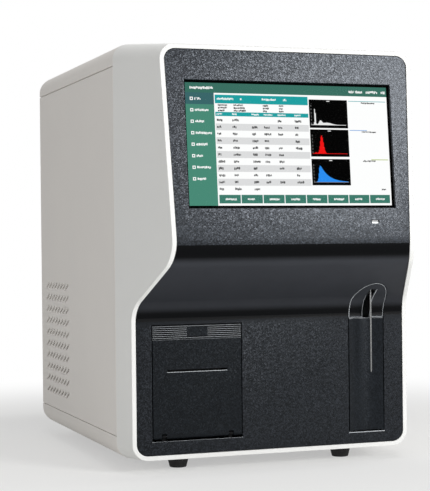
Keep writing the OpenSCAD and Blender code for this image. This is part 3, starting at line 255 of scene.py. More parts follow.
def lit_picture():
    """Backlit display: each patch gives off its own colour, over a dead black polarizer."""
    material, tree = empty_material("backlit_display")
    patch = add(tree, "ShaderNodeAttribute", attribute_name="patch")
    shader = add(
        tree, "ShaderNodeBsdfPrincipled",
        {"Base Color": (0, 0, 0, 1), "Roughness": 0.8, "Specular IOR Level": 0.0, "Emission Strength": 1.0},
        {"Emission Color": patch.outputs["Color"]},
    )
    add(tree, "ShaderNodeOutputMaterial", None, {"Surface": shader.outputs[0]})
    return material


def lens_finish(middle_z):
    """Moulded light lens: smoked above its middle, milky and lit below it."""
    half_change = 0.1 * MM
    material, tree = empty_material("two_tone_lens")
    place = add(tree, "ShaderNodeTexCoord").outputs["Object"]
    height = add(tree, "ShaderNodeSeparateXYZ", None, {0: place}).outputs["Z"]
    lower = add(
        tree, "ShaderNodeMapRange", {"From Min": middle_z + half_change, "From Max": middle_z - half_change},
        {"Value": height},
    )
    colour = add(
        tree, "ShaderNodeMix", {6: linear("#08090a"), 7: linear("#f2f4f4")}, {0: lower.outputs[0]},
        data_type="RGBA",
    )
    glow = add(
        tree, "ShaderNodeMix", {6: (0, 0, 0, 1), 7: linear("#c8d0d0")}, {0: lower.outputs[0]},
        data_type="RGBA",
    )
    shader = add(
        tree, "ShaderNodeBsdfPrincipled", {"Roughness": 0.25, "Emission Strength": 0.6},
        {"Base Color": colour.outputs[2], "Emission Color": glow.outputs[2]},
    )
    add(tree, "ShaderNodeOutputMaterial", None, {"Surface": shader.outputs[0]})
    return material


METAL = {"Metallic": 1.0}
# Powder-coated sheet steel: warm light grey with a fine orange peel
cover_paint = grained_finish(
    "powder_coated_steel", "#ede9e4", "#e9e5e1", (0.68, 0.78), 1.1, 0.02,
    constants={"Specular IOR Level": 0.3},
)
# White ABS: satin, with a finer mould texture than the paint
frame_plastic = grained_finish(
    "satin_white_abs", "#ededeb", "#eaeae8", (0.58, 0.68), 0.7, 0.01,
    constants={"Specular IOR Level": 0.35},
)
# Black ABS of the front panel; its grain of about 0.5 mm is drawn at 0.9 mm so that it shows
panel_black = spark_grained_black(
    "spark_grained_black_abs", "#33383f", "#0b0d10", 0.9, 0.11, (0.23, 0.32), 0.225
)
# The same moulding below the bend, painted darker as shade where less light falls; its grain is duller and
# dies away at the top
shaded_lower_black = spark_grained_black(
    "dull_grained_black_abs", "#2a2d32", "#020304", 0.95, 0.09, (0.16, 0.3), 0.165, (FADE_FROM, HALF_FROM)
)
# The same moulding where the mould was polished, over the nose and the bend: smooth, deep black, with a
# painted sheen on the slope between them
polished_black = polished_finish("polished_black_abs", 0.06, SLOPE_LOW, SLOPE_HIGH)
# Between the two, on the first strip of the bend: it shines a little more
half_polished_black = polished_finish("half_polished_black_abs", 0.14, SLOPE_LOW, SLOPE_HIGH)
# Painted highlight on the edges of the black mouldings: pale and smooth, laid where they face the light from
# above and in front
painted_edge_highlight = grained_finish(
    "rubbed_black_abs", "#c2c6ca", "#a4a9ae", (0.25, 0.4), 1.2, 0.004, 9.0, {"Specular IOR Level": 0.5}
)
# The same ABS on the printer's door and release bar: darker and duller, with less contrast in its grain
door_black = spark_grained_black("fine_black_abs", "#171b1f", "#0b0d0f", 1.0, 0.14, (0.26, 0.38), 0.1)
# The same ABS on the start key: flatter facets and a little more shine, from being pressed
key_black = spark_grained_black("satin_black_abs", "#1f2328", "#0d1013", 1.0, 0.1, (0.24, 0.34), 0.13)
# Glass-filled nylon of the works: dull black
works_black = grained_finish("black_nylon", "#1e1f21", "#161719", (0.5, 0.65), 0.8, 0.02)
# Matt black ABS of the printer's case, which hardly shines; the release bar's groove floors get it too, as
# painted shade
case_black_and_groove_shade = grained_finish(
    "matt_black_abs", "#0d0e10", "#090a0b", (0.55, 0.7), 0.8, 0.02, constants={"Specular IOR Level": 0.08}
)
# Moulded rubber: dead matt
foot_rubber = grained_finish("moulded_rubber", "#1c1c1c", "#141414", (0.75, 0.9), 0.5, 0.02)
# Zinc-plated sheet: soft metal with a crystal spangle
sheet_steel = grained_finish(
    "zinc_plated_steel", "#c6c9cc", "#b0b4b8", (0.3, 0.46), 2.5, 0.004, 9.0, METAL
)
# Ground stainless rod and screws: brighter and finer
shaft_steel = grained_finish(
    "ground_stainless_steel", "#d2d4d6", "#c2c5c8", (0.22, 0.34), 0.4, 0.003, 20.0, METAL
)
# Drawn stainless tube of the needle: painted a darker grey than the rods, as painted shade for the dimmer
# room it mirrors; faintly clouded
needle_steel_shaded = grained_finish(
    "drawn_stainless_tube", "#8b8b8a", "#6f7071", (0.25, 0.4), 0.5, 0.003, 3.0, METAL
)
# Mill-finish aluminium: a soft silver grey
alloy = grained_finish("mill_aluminium", "#cfd1d3", "#bfc2c5", (0.35, 0.5), 0.9, 0.006, 14.0, METAL)
# Gold flash over the contacts: warm and bright
gold_flash = grained_finish("gold_flash", "#e0b862", "#cfa24c", (0.2, 0.3), 0.4, 0.002, 8.0, METAL)
# Thermal paper: smooth bright white with a faint fibre cloud
paper_white = grained_finish("thermal_paper", "#f4f3ee", "#ecebe5", (0.6, 0.75), 0.4, 0.01, 5.0)
# Machined acetal: milky white with fine tool marks
white_plastic = grained_finish("machined_acetal", "#efefe9", "#e6e6df", (0.35, 0.5), 0.6, 0.01)
# Solder mask over glass laminate: glossy green, mottled by the weave under it
board_green = grained_finish("green_solder_mask", "#2f7a49", "#25623a", (0.25, 0.4), 1.2, 0.01, 6.0)
# Printed black mask of the display module: flat and nearly black
display_mask = grained_finish("black_display_mask", "#0b0c0d", "#070808", (0.4, 0.55), 0.8, 0.004)
screen_glass = touch_glass_finish()
clear_plastic = clear_moulding()
picture_light = lit_picture()
light_low, light_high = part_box("status_light")
lamp_lens = lens_finish((light_low.z + light_high.z) / 2)

FINISHES = {
    "cover_paint": cover_paint, "frame_plastic": frame_plastic, "panel_black": panel_black,
    "works_black": works_black, "foot_rubber": foot_rubber, "sheet_steel": sheet_steel,
    "shaft_steel": shaft_steel, "screen_glass": screen_glass, "display": display_mask,
    "lamp_lens": lamp_lens, "paper": paper_white, "clear_plastic": clear_plastic,
    "white_plastic": white_plastic, "alloy": alloy, "board_green": board_green,
}


# Meshes

# How a CAD mesh is cleaned: the distance within which points are merged, the longest edge that counts as
# none, and the greatest angle between faces that count as one
MERGE_WITHIN, SLIVER, FLAT_WITHIN = 0.002 * MM, 0.001 * MM, math.radians(0.2)


def link_mesh(name, mesh):
    """A new object with this mesh, in the scene."""
    piece = bpy.data.objects.new(name, mesh)
    scene.collection.objects.link(piece)
    return piece


def smooth_by_angle(work, degrees):
    """Rounds the shading of a bmesh, but for edges sharper than this."""
    limit = math.radians(degrees)
    for face in work.faces:
        face.smooth = True
    for edge in work.edges:
        edge.smooth = len(edge.link_faces) == 2 and edge.calc_face_angle() < limit


def dress(node, finish, edge_mm=0.0, full_width=False):
    """A merged, smoothly shaded copy of a CAD node stands for it, with its sharp edges broken by edge_mm.
    Without full_width, they are broken by less all over where a small form wouldn't take that much."""
    mesh = nodes[node].data.copy()
    mesh.name = "dressed_" + node
    work = bmesh.new()
    work.from_mesh(mesh)
    bmesh.ops.remove_doubles(work, verts=work.verts, dist=MERGE_WITHIN)
    bmesh.ops.dissolve_degenerate(work, edges=work.edges, dist=SLIVER)
    bmesh.ops.dissolve_limit(work, angle_limit=FLAT_WITHIN, verts=work.verts, edges=work.edges)
    smooth_by_angle(work, degrees=32)
    work.to_mesh(mesh)
    work.free()
    mesh.materials.clear()
    mesh.materials.append(finish)
    piece = link_mesh(mesh.name, mesh)
    if edge_mm:
        bevel = piece.modifiers.new("broken_edges", "BEVEL")
        bevel.width = edge_mm * MM
        bevel.segments = 2
        bevel.limit_method = "ANGLE"
        bevel.angle_limit = math.radians(40)
        bevel.harden_normals = True
        bevel.use_clamp_overlap = not full_width
    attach(piece, node_body[node])
    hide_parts(node)
    return piece


def paint_edge_highlights(piece, least_up, top_z=1.0, last_y=1.0):
    """Keeps a piece's broken edges as mesh, and paints a pale highlight on those that face forward and at
    least so far up, below top_z and in front of last_y, where they catch the light."""
    least_forward = 0.2
    bevel = piece.modifiers["broken_edges"]
    piece.data.materials.append(painted_edge_highlight)
    highlight_slot = len(piece.data.materials) - 1
    bevel.material = highlight_slot
    graph = bpy.context.evaluated_depsgraph_get()
    solid = bpy.data.meshes.new_from_object(piece.evaluated_get(graph))
    piece.modifiers.remove(bevel)
    solid.name = piece.name
    for face in solid.polygons:
        turned_away = face.normal.y > -least_forward or face.normal.z < least_up
        out_of_reach = face.center.z > top_z or face.center.y > last_y
        if face.material_index == highlight_slot and (turned_away or out_of_reach):
            face.material_index = 0
    piece.data = solid


def refinish(piece, finish, axis, start, stop):
    """Gives another finish to a piece's own faces between two places along an axis."""
    mesh = piece.data
    mesh.materials.append(finish)
    for face in mesh.polygons:
        if face.material_index == 0 and start < face.center[axis] < stop:
            face.material_index = len(mesh.materials) - 1


def hexagon(across):
    """Radius round a hexagon of this width across its flats."""
    def radius(angle):
        return across / 2 / math.cos((angle + math.pi / 6) % (math.pi / 3) - math.pi / 6)
    return radius


def turned(name, rings, sides=24):
    """A closed turned shape along +Z from rings of radius and height in millimetres, from its foot to its
    tip. A radius may be a function of the angle."""
    work = bmesh.new()
    loops = []
    for radius, height in rings:
        loop = []
        for i in range(sides):
            angle = 2 * math.pi * i / sides
            r = radius(angle) if callable(radius) else radius
            loop.append(work.verts.new((r * math.cos(angle) * MM, r * math.sin(angle) * MM, height * MM)))
        loops.append(loop)
    for low, high in zip(loops, loops[1:]):
        for i in range(sides):
            j = (i + 1) % sides
            work.faces.new((low[i], low[j], high[j], high[i]))
    work.faces.new(loops[0][::-1])
    work.faces.new(loops[-1])
    bmesh.ops.recalc_face_normals(work, faces=work.faces)
    smooth_by_angle(work, degrees=40)
    mesh = bpy.data.meshes.new(name)
    work.to_mesh(mesh)
    work.free()
    return link_mesh(name, mesh)


def bar_mesh(name, size):
    """A small bar with broken edges, its size in millimetres, standing on z = 0."""
    work = bmesh.new()
    bmesh.ops.create_cube(work, size=1.0)
    for vert in work.verts:
        vert.co = Vector((vert.co.x * size[0], vert.co.y * size[1], (vert.co.z + 0.5) * size[2])) * MM
    bmesh.ops.bevel(
        work, geom=list(work.edges), offset=min(size) * 0.2 * MM, segments=1, affect="EDGES", profile=0.5
    )
    mesh = bpy.data.meshes.new(name)
    work.to_mesh(mesh)
    work.free()
    return link_mesh(name, mesh)


# Geometry node groups for what repeats

def node_group(name, inputs):
    """A geometry node group with these named inputs, and its input and output nodes."""
    tree = bpy.data.node_groups.new(name, "GeometryNodeTree")
    tree.interface.new_socket("Geometry", in_out="OUTPUT", socket_type="NodeSocketGeometry")
    for label, kind in inputs:
        tree.interface.new_socket(label, in_out="INPUT", socket_type=kind)
    return tree, add(tree, "NodeGroupInput"), add(tree, "NodeGroupOutput")


def give_finish(tree, given, made, solid):
    """Ends a group: gives the solid its finish, and puts it out."""
    finish = add(
        tree, "GeometryNodeSetMaterial", None, {"Geometry": solid, "Material": given.outputs["Finish"]}
    )
    tree.links.new(finish.outputs[0], made.inputs[0])


def set_wires(tree, given, made, wires):
    """Turns wires, sets them at their centre and rounds their shading, and ends the group."""
    moved = add(tree, "GeometryNodeTransform", None, {
        "Geometry": wires, "Translation": given.outputs["Centre"], "Rotation": given.outputs["Turn"],
    })
    smooth = add(tree, "GeometryNodeSetShadeSmooth", None, {"Geometry": moved.outputs[0]})
    give_finish(tree, given, made, smooth.outputs[0])


def fittings_group():
    """Sets one fitting on each point of a mesh, turned to its face."""
    tree, given, made = node_group("fittings_on_places", (
        ("Places", "NodeSocketGeometry"), ("Fitting", "NodeSocketObject"), ("Turn", "NodeSocketVector"),
        ("Finish", "NodeSocketMaterial"),
    ))
    fitting = add(tree, "GeometryNodeObjectInfo", None, {"Object": given.outputs["Fitting"]})
    spread = add(tree, "GeometryNodeInstanceOnPoints", None, {
        "Points": given.outputs["Places"], "Instance": fitting.outputs["Geometry"],
        "Rotation": given.outputs["Turn"],
    })
    solid = add(tree, "GeometryNodeRealizeInstances", None, {"Geometry": spread.outputs[0]})
    give_finish(tree, given, made, solid.outputs[0])
    return tree


def guard_group():
    """A wire finger guard: rings at an even pitch on a cross of two bars."""
    tree, given, made = node_group("wire_guard", (
        ("Rings", "NodeSocketInt"), ("First radius", "NodeSocketFloat"), ("Pitch", "NodeSocketFloat"),
        ("Wire radius", "NodeSocketFloat"), ("Bar reach", "NodeSocketFloat"), ("Centre", "NodeSocketVector"),
        ("Turn", "NodeSocketVector"), ("Finish", "NodeSocketMaterial"),
    ))
    index = add(tree, "GeometryNodeInputIndex")
    ring_step = add(
        tree, "ShaderNodeMath", None, {0: index.outputs[0], 1: given.outputs["Pitch"]}, operation="MULTIPLY"
    )
    ring_radius = add(
        tree, "ShaderNodeMath", None, {0: ring_step.outputs[0], 1: given.outputs["First radius"]},
        operation="ADD",
    )
    ring_points = add(tree, "GeometryNodePoints", None, {"Count": given.outputs["Rings"]})
    circle = add(tree, "GeometryNodeCurvePrimitiveCircle", {"Resolution": 64, "Radius": 1.0})
    rings = add(tree, "GeometryNodeInstanceOnPoints", None, {
        "Points": ring_points.outputs[0], "Instance": circle.outputs[0], "Scale": ring_radius.outputs[0],
    })
    bar_points = add(tree, "GeometryNodePoints", {"Count": 2})
    quarter = add(
        tree, "ShaderNodeMath", {1: math.pi / 2, 2: math.pi / 4}, {0: index.outputs[0]},
        operation="MULTIPLY_ADD",
    )
    bar_turn = add(tree, "ShaderNodeCombineXYZ", None, {"Z": quarter.outputs[0]})
    back_reach = add(tree, "ShaderNodeMath", {1: -1.0}, {0: given.outputs["Bar reach"]}, operation="MULTIPLY")
    bar_start = add(tree, "ShaderNodeCombineXYZ", None, {"X": back_reach.outputs[0]})
    bar_end = add(tree, "ShaderNodeCombineXYZ", None, {"X": given.outputs["Bar reach"]})
    bar = add(
        tree, "GeometryNodeCurvePrimitiveLine", None,
        {"Start": bar_start.outputs[0], "End": bar_end.outputs[0]},
    )
    bars = add(tree, "GeometryNodeInstanceOnPoints", None, {
        "Points": bar_points.outputs[0], "Instance": bar.outputs[0], "Rotation": bar_turn.outputs[0],
    })
    both = add(tree, "GeometryNodeJoinGeometry")
    tree.links.new(bars.outputs[0], both.inputs[0])
    tree.links.new(rings.outputs[0], both.inputs[0])
    lines = add(tree, "GeometryNodeRealizeInstances", None, {"Geometry": both.outputs[0]})
    section = add(
        tree, "GeometryNodeCurvePrimitiveCircle", {"Resolution": 8}, {"Radius": given.outputs["Wire radius"]}
    )
    wires = add(
        tree, "GeometryNodeCurveToMesh", {"Fill Caps": True},
        {"Curve": lines.outputs[0], "Profile Curve": section.outputs[0]},
    )
    set_wires(tree, given, made, wires.outputs[0])
    return tree


def mesh_group():
    """A wire mesh in a round rim: level and upright wires at one pitch, flat on its own X and Y."""
    tree, given, made = node_group("wire_mesh", (
        ("Across", "NodeSocketFloat"), ("Tall", "NodeSocketFloat"), ("Pitch", "NodeSocketFloat"),
        ("Wire radius", "NodeSocketFloat"), ("Rim radius", "NodeSocketFloat"), ("Centre", "NodeSocketVector"),
        ("Turn", "NodeSocketVector"), ("Finish", "NodeSocketMaterial"),
    ))
    index = add(tree, "GeometryNodeInputIndex")
    wires = add(tree, "GeometryNodeJoinGeometry")
    for along, side in (("X", "Y"), ("Y", "X")):
        span = given.outputs["Across" if along == "X" else "Tall"]
        reach = given.outputs["Tall" if along == "X" else "Across"]
        count = add(tree, "ShaderNodeMath", None, {0: span, 1: given.outputs["Pitch"]}, operation="DIVIDE")
        start = add(tree, "ShaderNodeMath", {1: -0.5}, {0: span}, operation="MULTIPLY")
        step = add(
            tree, "ShaderNodeMath", None,
            {0: index.outputs[0], 1: given.outputs["Pitch"], 2: start.outputs[0]}, operation="MULTIPLY_ADD",
        )
        spot = add(tree, "ShaderNodeCombineXYZ", None, {along: step.outputs[0]})
        points = add(
            tree, "GeometryNodePoints", None, {"Count": count.outputs[0], "Position": spot.outputs[0]}
        )
        half = add(tree, "ShaderNodeMath", {1: 0.5}, {0: reach}, operation="MULTIPLY")
        back = add(tree, "ShaderNodeMath", {1: -0.5}, {0: reach}, operation="MULTIPLY")
        head = add(tree, "ShaderNodeCombineXYZ", None, {side: half.outputs[0]})
        tail = add(tree, "ShaderNodeCombineXYZ", None, {side: back.outputs[0]})
        wire = add(
            tree, "GeometryNodeCurvePrimitiveLine", None, {"Start": tail.outputs[0], "End": head.outputs[0]}
        )
        row = add(
            tree, "GeometryNodeInstanceOnPoints", None,
            {"Points": points.outputs[0], "Instance": wire.outputs[0]},
        )
        tree.links.new(row.outputs[0], wires.inputs[0])
    lines = add(tree, "GeometryNodeRealizeInstances", None, {"Geometry": wires.outputs[0]})
    thin = add(
        tree, "GeometryNodeCurvePrimitiveCircle", {"Resolution": 4}, {"Radius": given.outputs["Wire radius"]}
    )
    cloth = add(
        tree, "GeometryNodeCurveToMesh", {"Fill Caps": True},
        {"Curve": lines.outputs[0], "Profile Curve": thin.outputs[0]},
    )
    outline = add(
        tree, "GeometryNodeCurvePrimitiveQuadrilateral", None,
        {"Width": given.outputs["Across"], "Height": given.outputs["Tall"]},
    )
    thick = add(
        tree, "GeometryNodeCurvePrimitiveCircle", {"Resolution": 8}, {"Radius": given.outputs["Rim radius"]}
    )
    rim = add(
        tree, "GeometryNodeCurveToMesh", None,
        {"Curve": outline.outputs[0], "Profile Curve": thick.outputs[0]},
    )
    both = add(tree, "GeometryNodeJoinGeometry")
    tree.links.new(rim.outputs[0], both.inputs[0])
    tree.links.new(cloth.outputs[0], both.inputs[0])
    set_wires(tree, given, made, both.outputs[0])
    return tree


def grow(name, tree, values, places=()):
    """Runs a node group over some places, and keeps the result as a plain mesh."""
    mesh = bpy.data.meshes.new(name)
    mesh.from_pydata([tuple(p) for p in places], [], [])
    piece = link_mesh(name, mesh)
    modifier = piece.modifiers.new("grow", "NODES")
    modifier.node_group = tree
    keys = {item.name: item.identifier for item in tree.interface.items_tree if item.in_out == "INPUT"}
    for label, value in values.items():
        modifier[keys[label]] = value
    graph = bpy.context.evaluated_depsgraph_get()
    solid = bpy.data.meshes.new_from_object(piece.evaluated_get(graph))
    piece.modifiers.remove(modifier)
    piece.data = solid
    solid.name = name
    return piece


fittings_tree = fittings_group()
guard_tree = guard_group()
mesh_tree = mesh_group()
TO_REAR = (-math.pi / 2, 0.0, 0.0)
UPRIGHT = (0.0, 0.0, 0.0)


def set_fittings(name, fitting, places, turn, finish, replaced=()):
    """Copies of one fitting at some places on the housing, as one piece."""
    piece = grow(name, fittings_tree, {"Fitting": fitting, "Turn": turn, "Finish": finish}, places)
    bpy.data.objects.remove(fitting)
    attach(piece, "housing")
    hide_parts(*replaced)
    return piece


# CAD nodes that are dressed

# Nodes of the shell, with all edges broken by the full width: finish, and width in millimetres
SHELL_EDGES = {
    "front_frame": (frame_plastic, 0.5), "front_panel": (panel_black, 0.7),
    "probe_shroud": (panel_black, 0.6), "printer_door": (door_black, 0.5),
    "release_bar": (door_black, 0.3), "aspirate_key": (key_black, 0.5),
    "top_cover": (cover_paint, 0.6), "base_tray": (cover_paint, 0.6),
    "left_side_panel": (cover_paint, 0.6), "right_side_panel": (cover_paint, 0.6),
}
# Other nodes with broken edges
OTHER_EDGES = {
    "rear_panel": (cover_paint, 0.3), "connector_panel": (cover_paint, 0.3),
    "power_inlet": (works_black, 0.3), "inlet_blades": (shaft_steel, 0.3),
    "switch_housing": (works_black, 0.2), "power_rocker": (works_black, 0.3),
    "data_ports": (sheet_steel, 0.15), "port_plate": (sheet_steel, 0.2),
    "printer_case": (case_black_and_groove_shade, 0.3), "print_head": (alloy, 0.2),
    "paper_roll": (paper_white, 0.2), "platen_roller": (foot_rubber, 0.2),
    "probe_wash_block": (white_plastic, 0.3), "lift_bracket": (sheet_steel, 0.3),
    "fan_frame": (works_black, 0.4),
}
# Nodes that are only shaded smoothly
ROUND_NODES = [
    "sample_probe", "probe_carriage", "lift_rods", "lift_screw", "lift_motor", "door_hinge_pin", "fan_rotor",
    "wbc_bath", "rbc_bath", "syringe_barrels", "syringe_plungers", "syringe_screw", "syringe_motor",
    "solenoid_valves", "vacuum_bottle", "diaphragm_pump", "board_standoffs", "bath_bracket", "syringe_frame",
]

BAR_LOW, BAR_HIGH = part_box("release_bar")
# Depths of the grooves between its ribs, whose floors are painted matt black as shade
GROOVE_FROM, GROOVE_TO = BAR_LOW.y + 0.1 * MM, BAR_LOW.y + 1.4 * MM
# Where edges get a painted highlight: least upward part of an edge's normal, greatest height and greatest
# depth
HIGHLIGHTED_EDGES = {
    "front_panel": (0.3, HALF_FROM), "probe_shroud": (-0.9,), "printer_door": (0.3,), "aspirate_key": (0.3,),
    "release_bar": (0.3, BAR_HIGH.z - 0.5 * MM, BAR_LOW.y + 0.3 * MM),
}

for node, (finish, edge_mm) in {**SHELL_EDGES, **OTHER_EDGES}.items():
    piece = dress(node, finish, edge_mm, node in SHELL_EDGES)
    if node in HIGHLIGHTED_EDGES:
        # Edges that face the light get a pale painted highlight
        paint_edge_highlights(piece, *HIGHLIGHTED_EDGES[node])
    if node == "release_bar":
        # The groove floors are painted matt black, as painted shade between the ribs
        refinish(piece, case_black_and_groove_shade, 1, GROOVE_FROM, GROOVE_TO)
    if finish == panel_black:
        # Below the bend the panel takes the copy painted darker as shade
        refinish(piece, shaded_lower_black, 2, 0.0, HALF_FROM)
        refinish(piece, half_polished_black, 2, HALF_FROM, POLISHED_FROM)
        # Over the nose and bend the panel is polished, with a painted sheen on the slope
        refinish(piece, polished_black, 2, POLISHED_FROM, POLISHED_TO)
for node in ROUND_NODES:
    # The needle takes the steel painted darker as shade
    dress(node, needle_steel_shaded if node == "sample_probe" else FINISHES[node_slot[node]])
# Nodes that stay as they are take the finish of their slot
for node, item in nodes.items():
    item.data.materials.clear()
    item.data.materials.append(FINISHES[node_slot[node]])


# Fittings that repeat

def rear_screws():
    """Button-head screws with hexagon sockets, where the CAD has plain domes."""
    low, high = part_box("rear_screws")
    head = turned("button_head", [
        (3.2, 0.0), (3.2, 0.25), (2.95, 0.8), (2.4, 1.35), (1.7, 1.7), (hexagon(2.2), 1.8),
        (hexagon(2.1), 0.5),
    ])
    radius = 3.2 * MM
    from_split = 7.4 * MM
    split = (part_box("connector_panel")[1].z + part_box("rear_panel")[0].z) / 2
    heights = (low.z + radius, high.z - radius, split - from_split, split + from_split)
    places = [(x, low.y, z) for x in (low.x + radius, high.x - radius) for z in heights]
    set_fittings("rear_button_screws", head, places, TO_REAR, shaft_steel, ["rear_screws"])


def feet():
    """Moulded feet with a rounded tread and a screw recess."""
    low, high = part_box("rubber_feet")
    tall = (high.z - low.z) / MM
    foot = turned("foot", [
        (4.0, 0.9), (4.2, 0.0), (8.2, 0.0), (8.8, 0.25), (9.1, 0.9), (12.1, tall - 1.2), (12.4, tall - 0.5),
        (12.4, tall - 0.02),
    ], 40)
    inset = 12.5 * MM
    places = [(x, y, low.z) for x in (low.x + inset, high.x - inset) for y in (low.y + inset, high.y - inset)]
    set_fittings("moulded_feet", foot, places, UPRIGHT, foot_rubber, ["rubber_feet"])


def hose_spigots():
    """Hexagon-shouldered spigots with three barbs, where the CAD has plain pins."""
    low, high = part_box("reagent_fittings")
    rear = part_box("rear_panel")[1].y
    tip = (high.y - rear) / MM
    rings = [(4.4, -8.0), (4.4, -0.02), (hexagon(14.6), -0.02), (hexagon(15.0), 0.5), (hexagon(15.0), 3.5)]
    rings += [(hexagon(14.2), 4.0), (2.4, 4.0)]
    barb = (tip - 5.4) / 3
    for i in range(3):
        start = 5.0 + i * barb
        rings += [(2.35, start), (2.75, start + 0.1), (2.35, start + barb * 0.95)]
    rings += [(2.0, tip), (1.3, tip), (1.2, tip - 3.0)]
    spigot = turned("barbed_spigot", rings, 36)
    middle_z = (low.z + high.z) / 2
    flat = 7.5 / math.cos(math.pi / 6) * MM
    ends = (low.x + flat, high.x - flat)
    places = [(ends[0] + (ends[1] - ends[0]) * i / 3, rear, middle_z) for i in range(4)]
    set_fittings("barbed_spigots", spigot, places, TO_REAR, shaft_steel, ["reagent_fittings"])


def fan_guard():
    """Round-wire guard and its four screws."""
    low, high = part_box("fan_guard")
    middle = (low + high) / 2
    wire = 0.8 * MM
    guard = grow("round_wire_guard", guard_tree, {
        "Rings": 4, "First radius": 10 * MM, "Pitch": 8 * MM, "Wire radius": wire, "Bar reach": 45 * MM,
        "Centre": (middle.x, low.y + wire, middle.z), "Turn": TO_REAR, "Finish": shaft_steel,
    })
    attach(guard, "housing")
    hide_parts("fan_guard")
    head = turned("guard_head", [
        (3.4, 0.0), (3.4, 0.9), (3.1, 1.7), (2.4, 2.2), (hexagon(2.4), 2.3), (hexagon(2.3), 1.0),
    ])
    reach = 32 * MM
    places = [(middle.x + a * reach, low.y, middle.z + b * reach) for a in (-1, 1) for b in (-1, 1)]
    set_fittings("guard_screws", head, places, TO_REAR, shaft_steel)


def port_contacts():
    """Tongues and gilt contacts inside the data ports."""
    low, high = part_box("data_ports")
    level = (low.z + high.z) / 2
    deep = high.y - 12.5 * MM
    # Middles of the two flat ports and of the network jack
    first, second, jack = low.x + 6.7 * MM, low.x + 28.7 * MM, low.x + 54.7 * MM
    flat_places = [(first, deep, level), (second, deep, level)]
    tongue = bar_mesh("tongue", (10.2, 1.6, 9.5))
    set_fittings("port_tongues", tongue, flat_places, TO_REAR, white_plastic)
    strip = bar_mesh("strip", (1.0, 0.3, 8.4))
    strips = [(x + (i - 1.5) * 2.3 * MM, y, z + 0.9 * MM) for x, y, z in flat_places for i in range(4)]
    strips += [(jack + (i - 3.5) * 1.3 * MM, deep, level + 4.6 * MM) for i in range(8)]
    set_fittings("port_contacts", strip, strips, TO_REAR, gold_flash)


def vent_meshes():
    """Painted wire mesh behind each field of vent slots, its rim against the inside of the panel."""
    rim = 0.8 * MM
    # Middle of a field of slots, before the rear edge of its panel and above the lower one
    before_rear, above_foot = 82.3 * MM, 85 * MM
    for side, node in ((-1, "left_side_panel"), (1, "right_side_panel")):
        low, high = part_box(node)
        inner_x = high.x if side < 0 else low.x
        mesh = grow(node.split("_")[0] + "_vent_mesh", mesh_tree, {
            "Across": 146 * MM, "Tall": 126 * MM, "Pitch": 1.1 * MM, "Wire radius": 0.3 * MM,
            "Rim radius": rim, "Turn": (0.0, math.pi / 2, 0.0), "Finish": cover_paint,
            "Centre": (inner_x - side * rim, high.y - before_rear, low.z + above_foot),
        })
        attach(mesh, "housing")


rear_screws()
feet()
vent_meshes()
hose_spigots()
fan_guard()
port_contacts()


# Picture on the screen

# The glass: its lean, thickness and middle, and the directions up its face and into it
TILT = math.radians(5.3)
GLASS_T = 1.8 * MM
glass_low, glass_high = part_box("touch_glass")
glass_middle = (glass_low + glass_high) / 2
FACE_UP = Vector((0, math.sin(TILT), math.cos(TILT)))
FACE_IN = Vector((0, math.cos(TILT), -math.sin(TILT)))
# The lit area in millimetres: size, place right of and above the glass's middle, and dark margin
LIT_W, LIT_H = 220.4, 124.2
LIT_RIGHT, LIT_UP = 1.2, 0.5
MASK = 5.0
# Share of the picture that runs on to the left, under the edge of the window
BLEED = 0.0095
# Gap behind the picture's lowest layer, and from layer to layer
BACK_GAP, LAYER = 0.05 * MM, 0.012 * MM
# Shares of the picture: foot of the header, right of the sidebar, table of results, plots
HEADER_FOOT, SIDEBAR_RIGHT = 0.081, 0.128
TABLE_LEFT, TABLE_RIGHT, TABLE_TOP, ROW_TALL = 0.132, 0.592, 0.2745, 0.0563
PLOT_LEFT, PLOT_RIGHT = 0.597, 0.793
# Columns in a plotted curve
COLUMNS = 44
HEADER, SIDEBAR, CHOSEN, TITLE = "#3b6f62", "#4a8a77", "#3b676a", "#20a0a2"
ROW_GREY, PAGE, INK, BUTTON = "#dededf", "#ffffff", "#141414", "#3f7b6c"
PLOT, TICK = "#000000", "#8a8a8a"


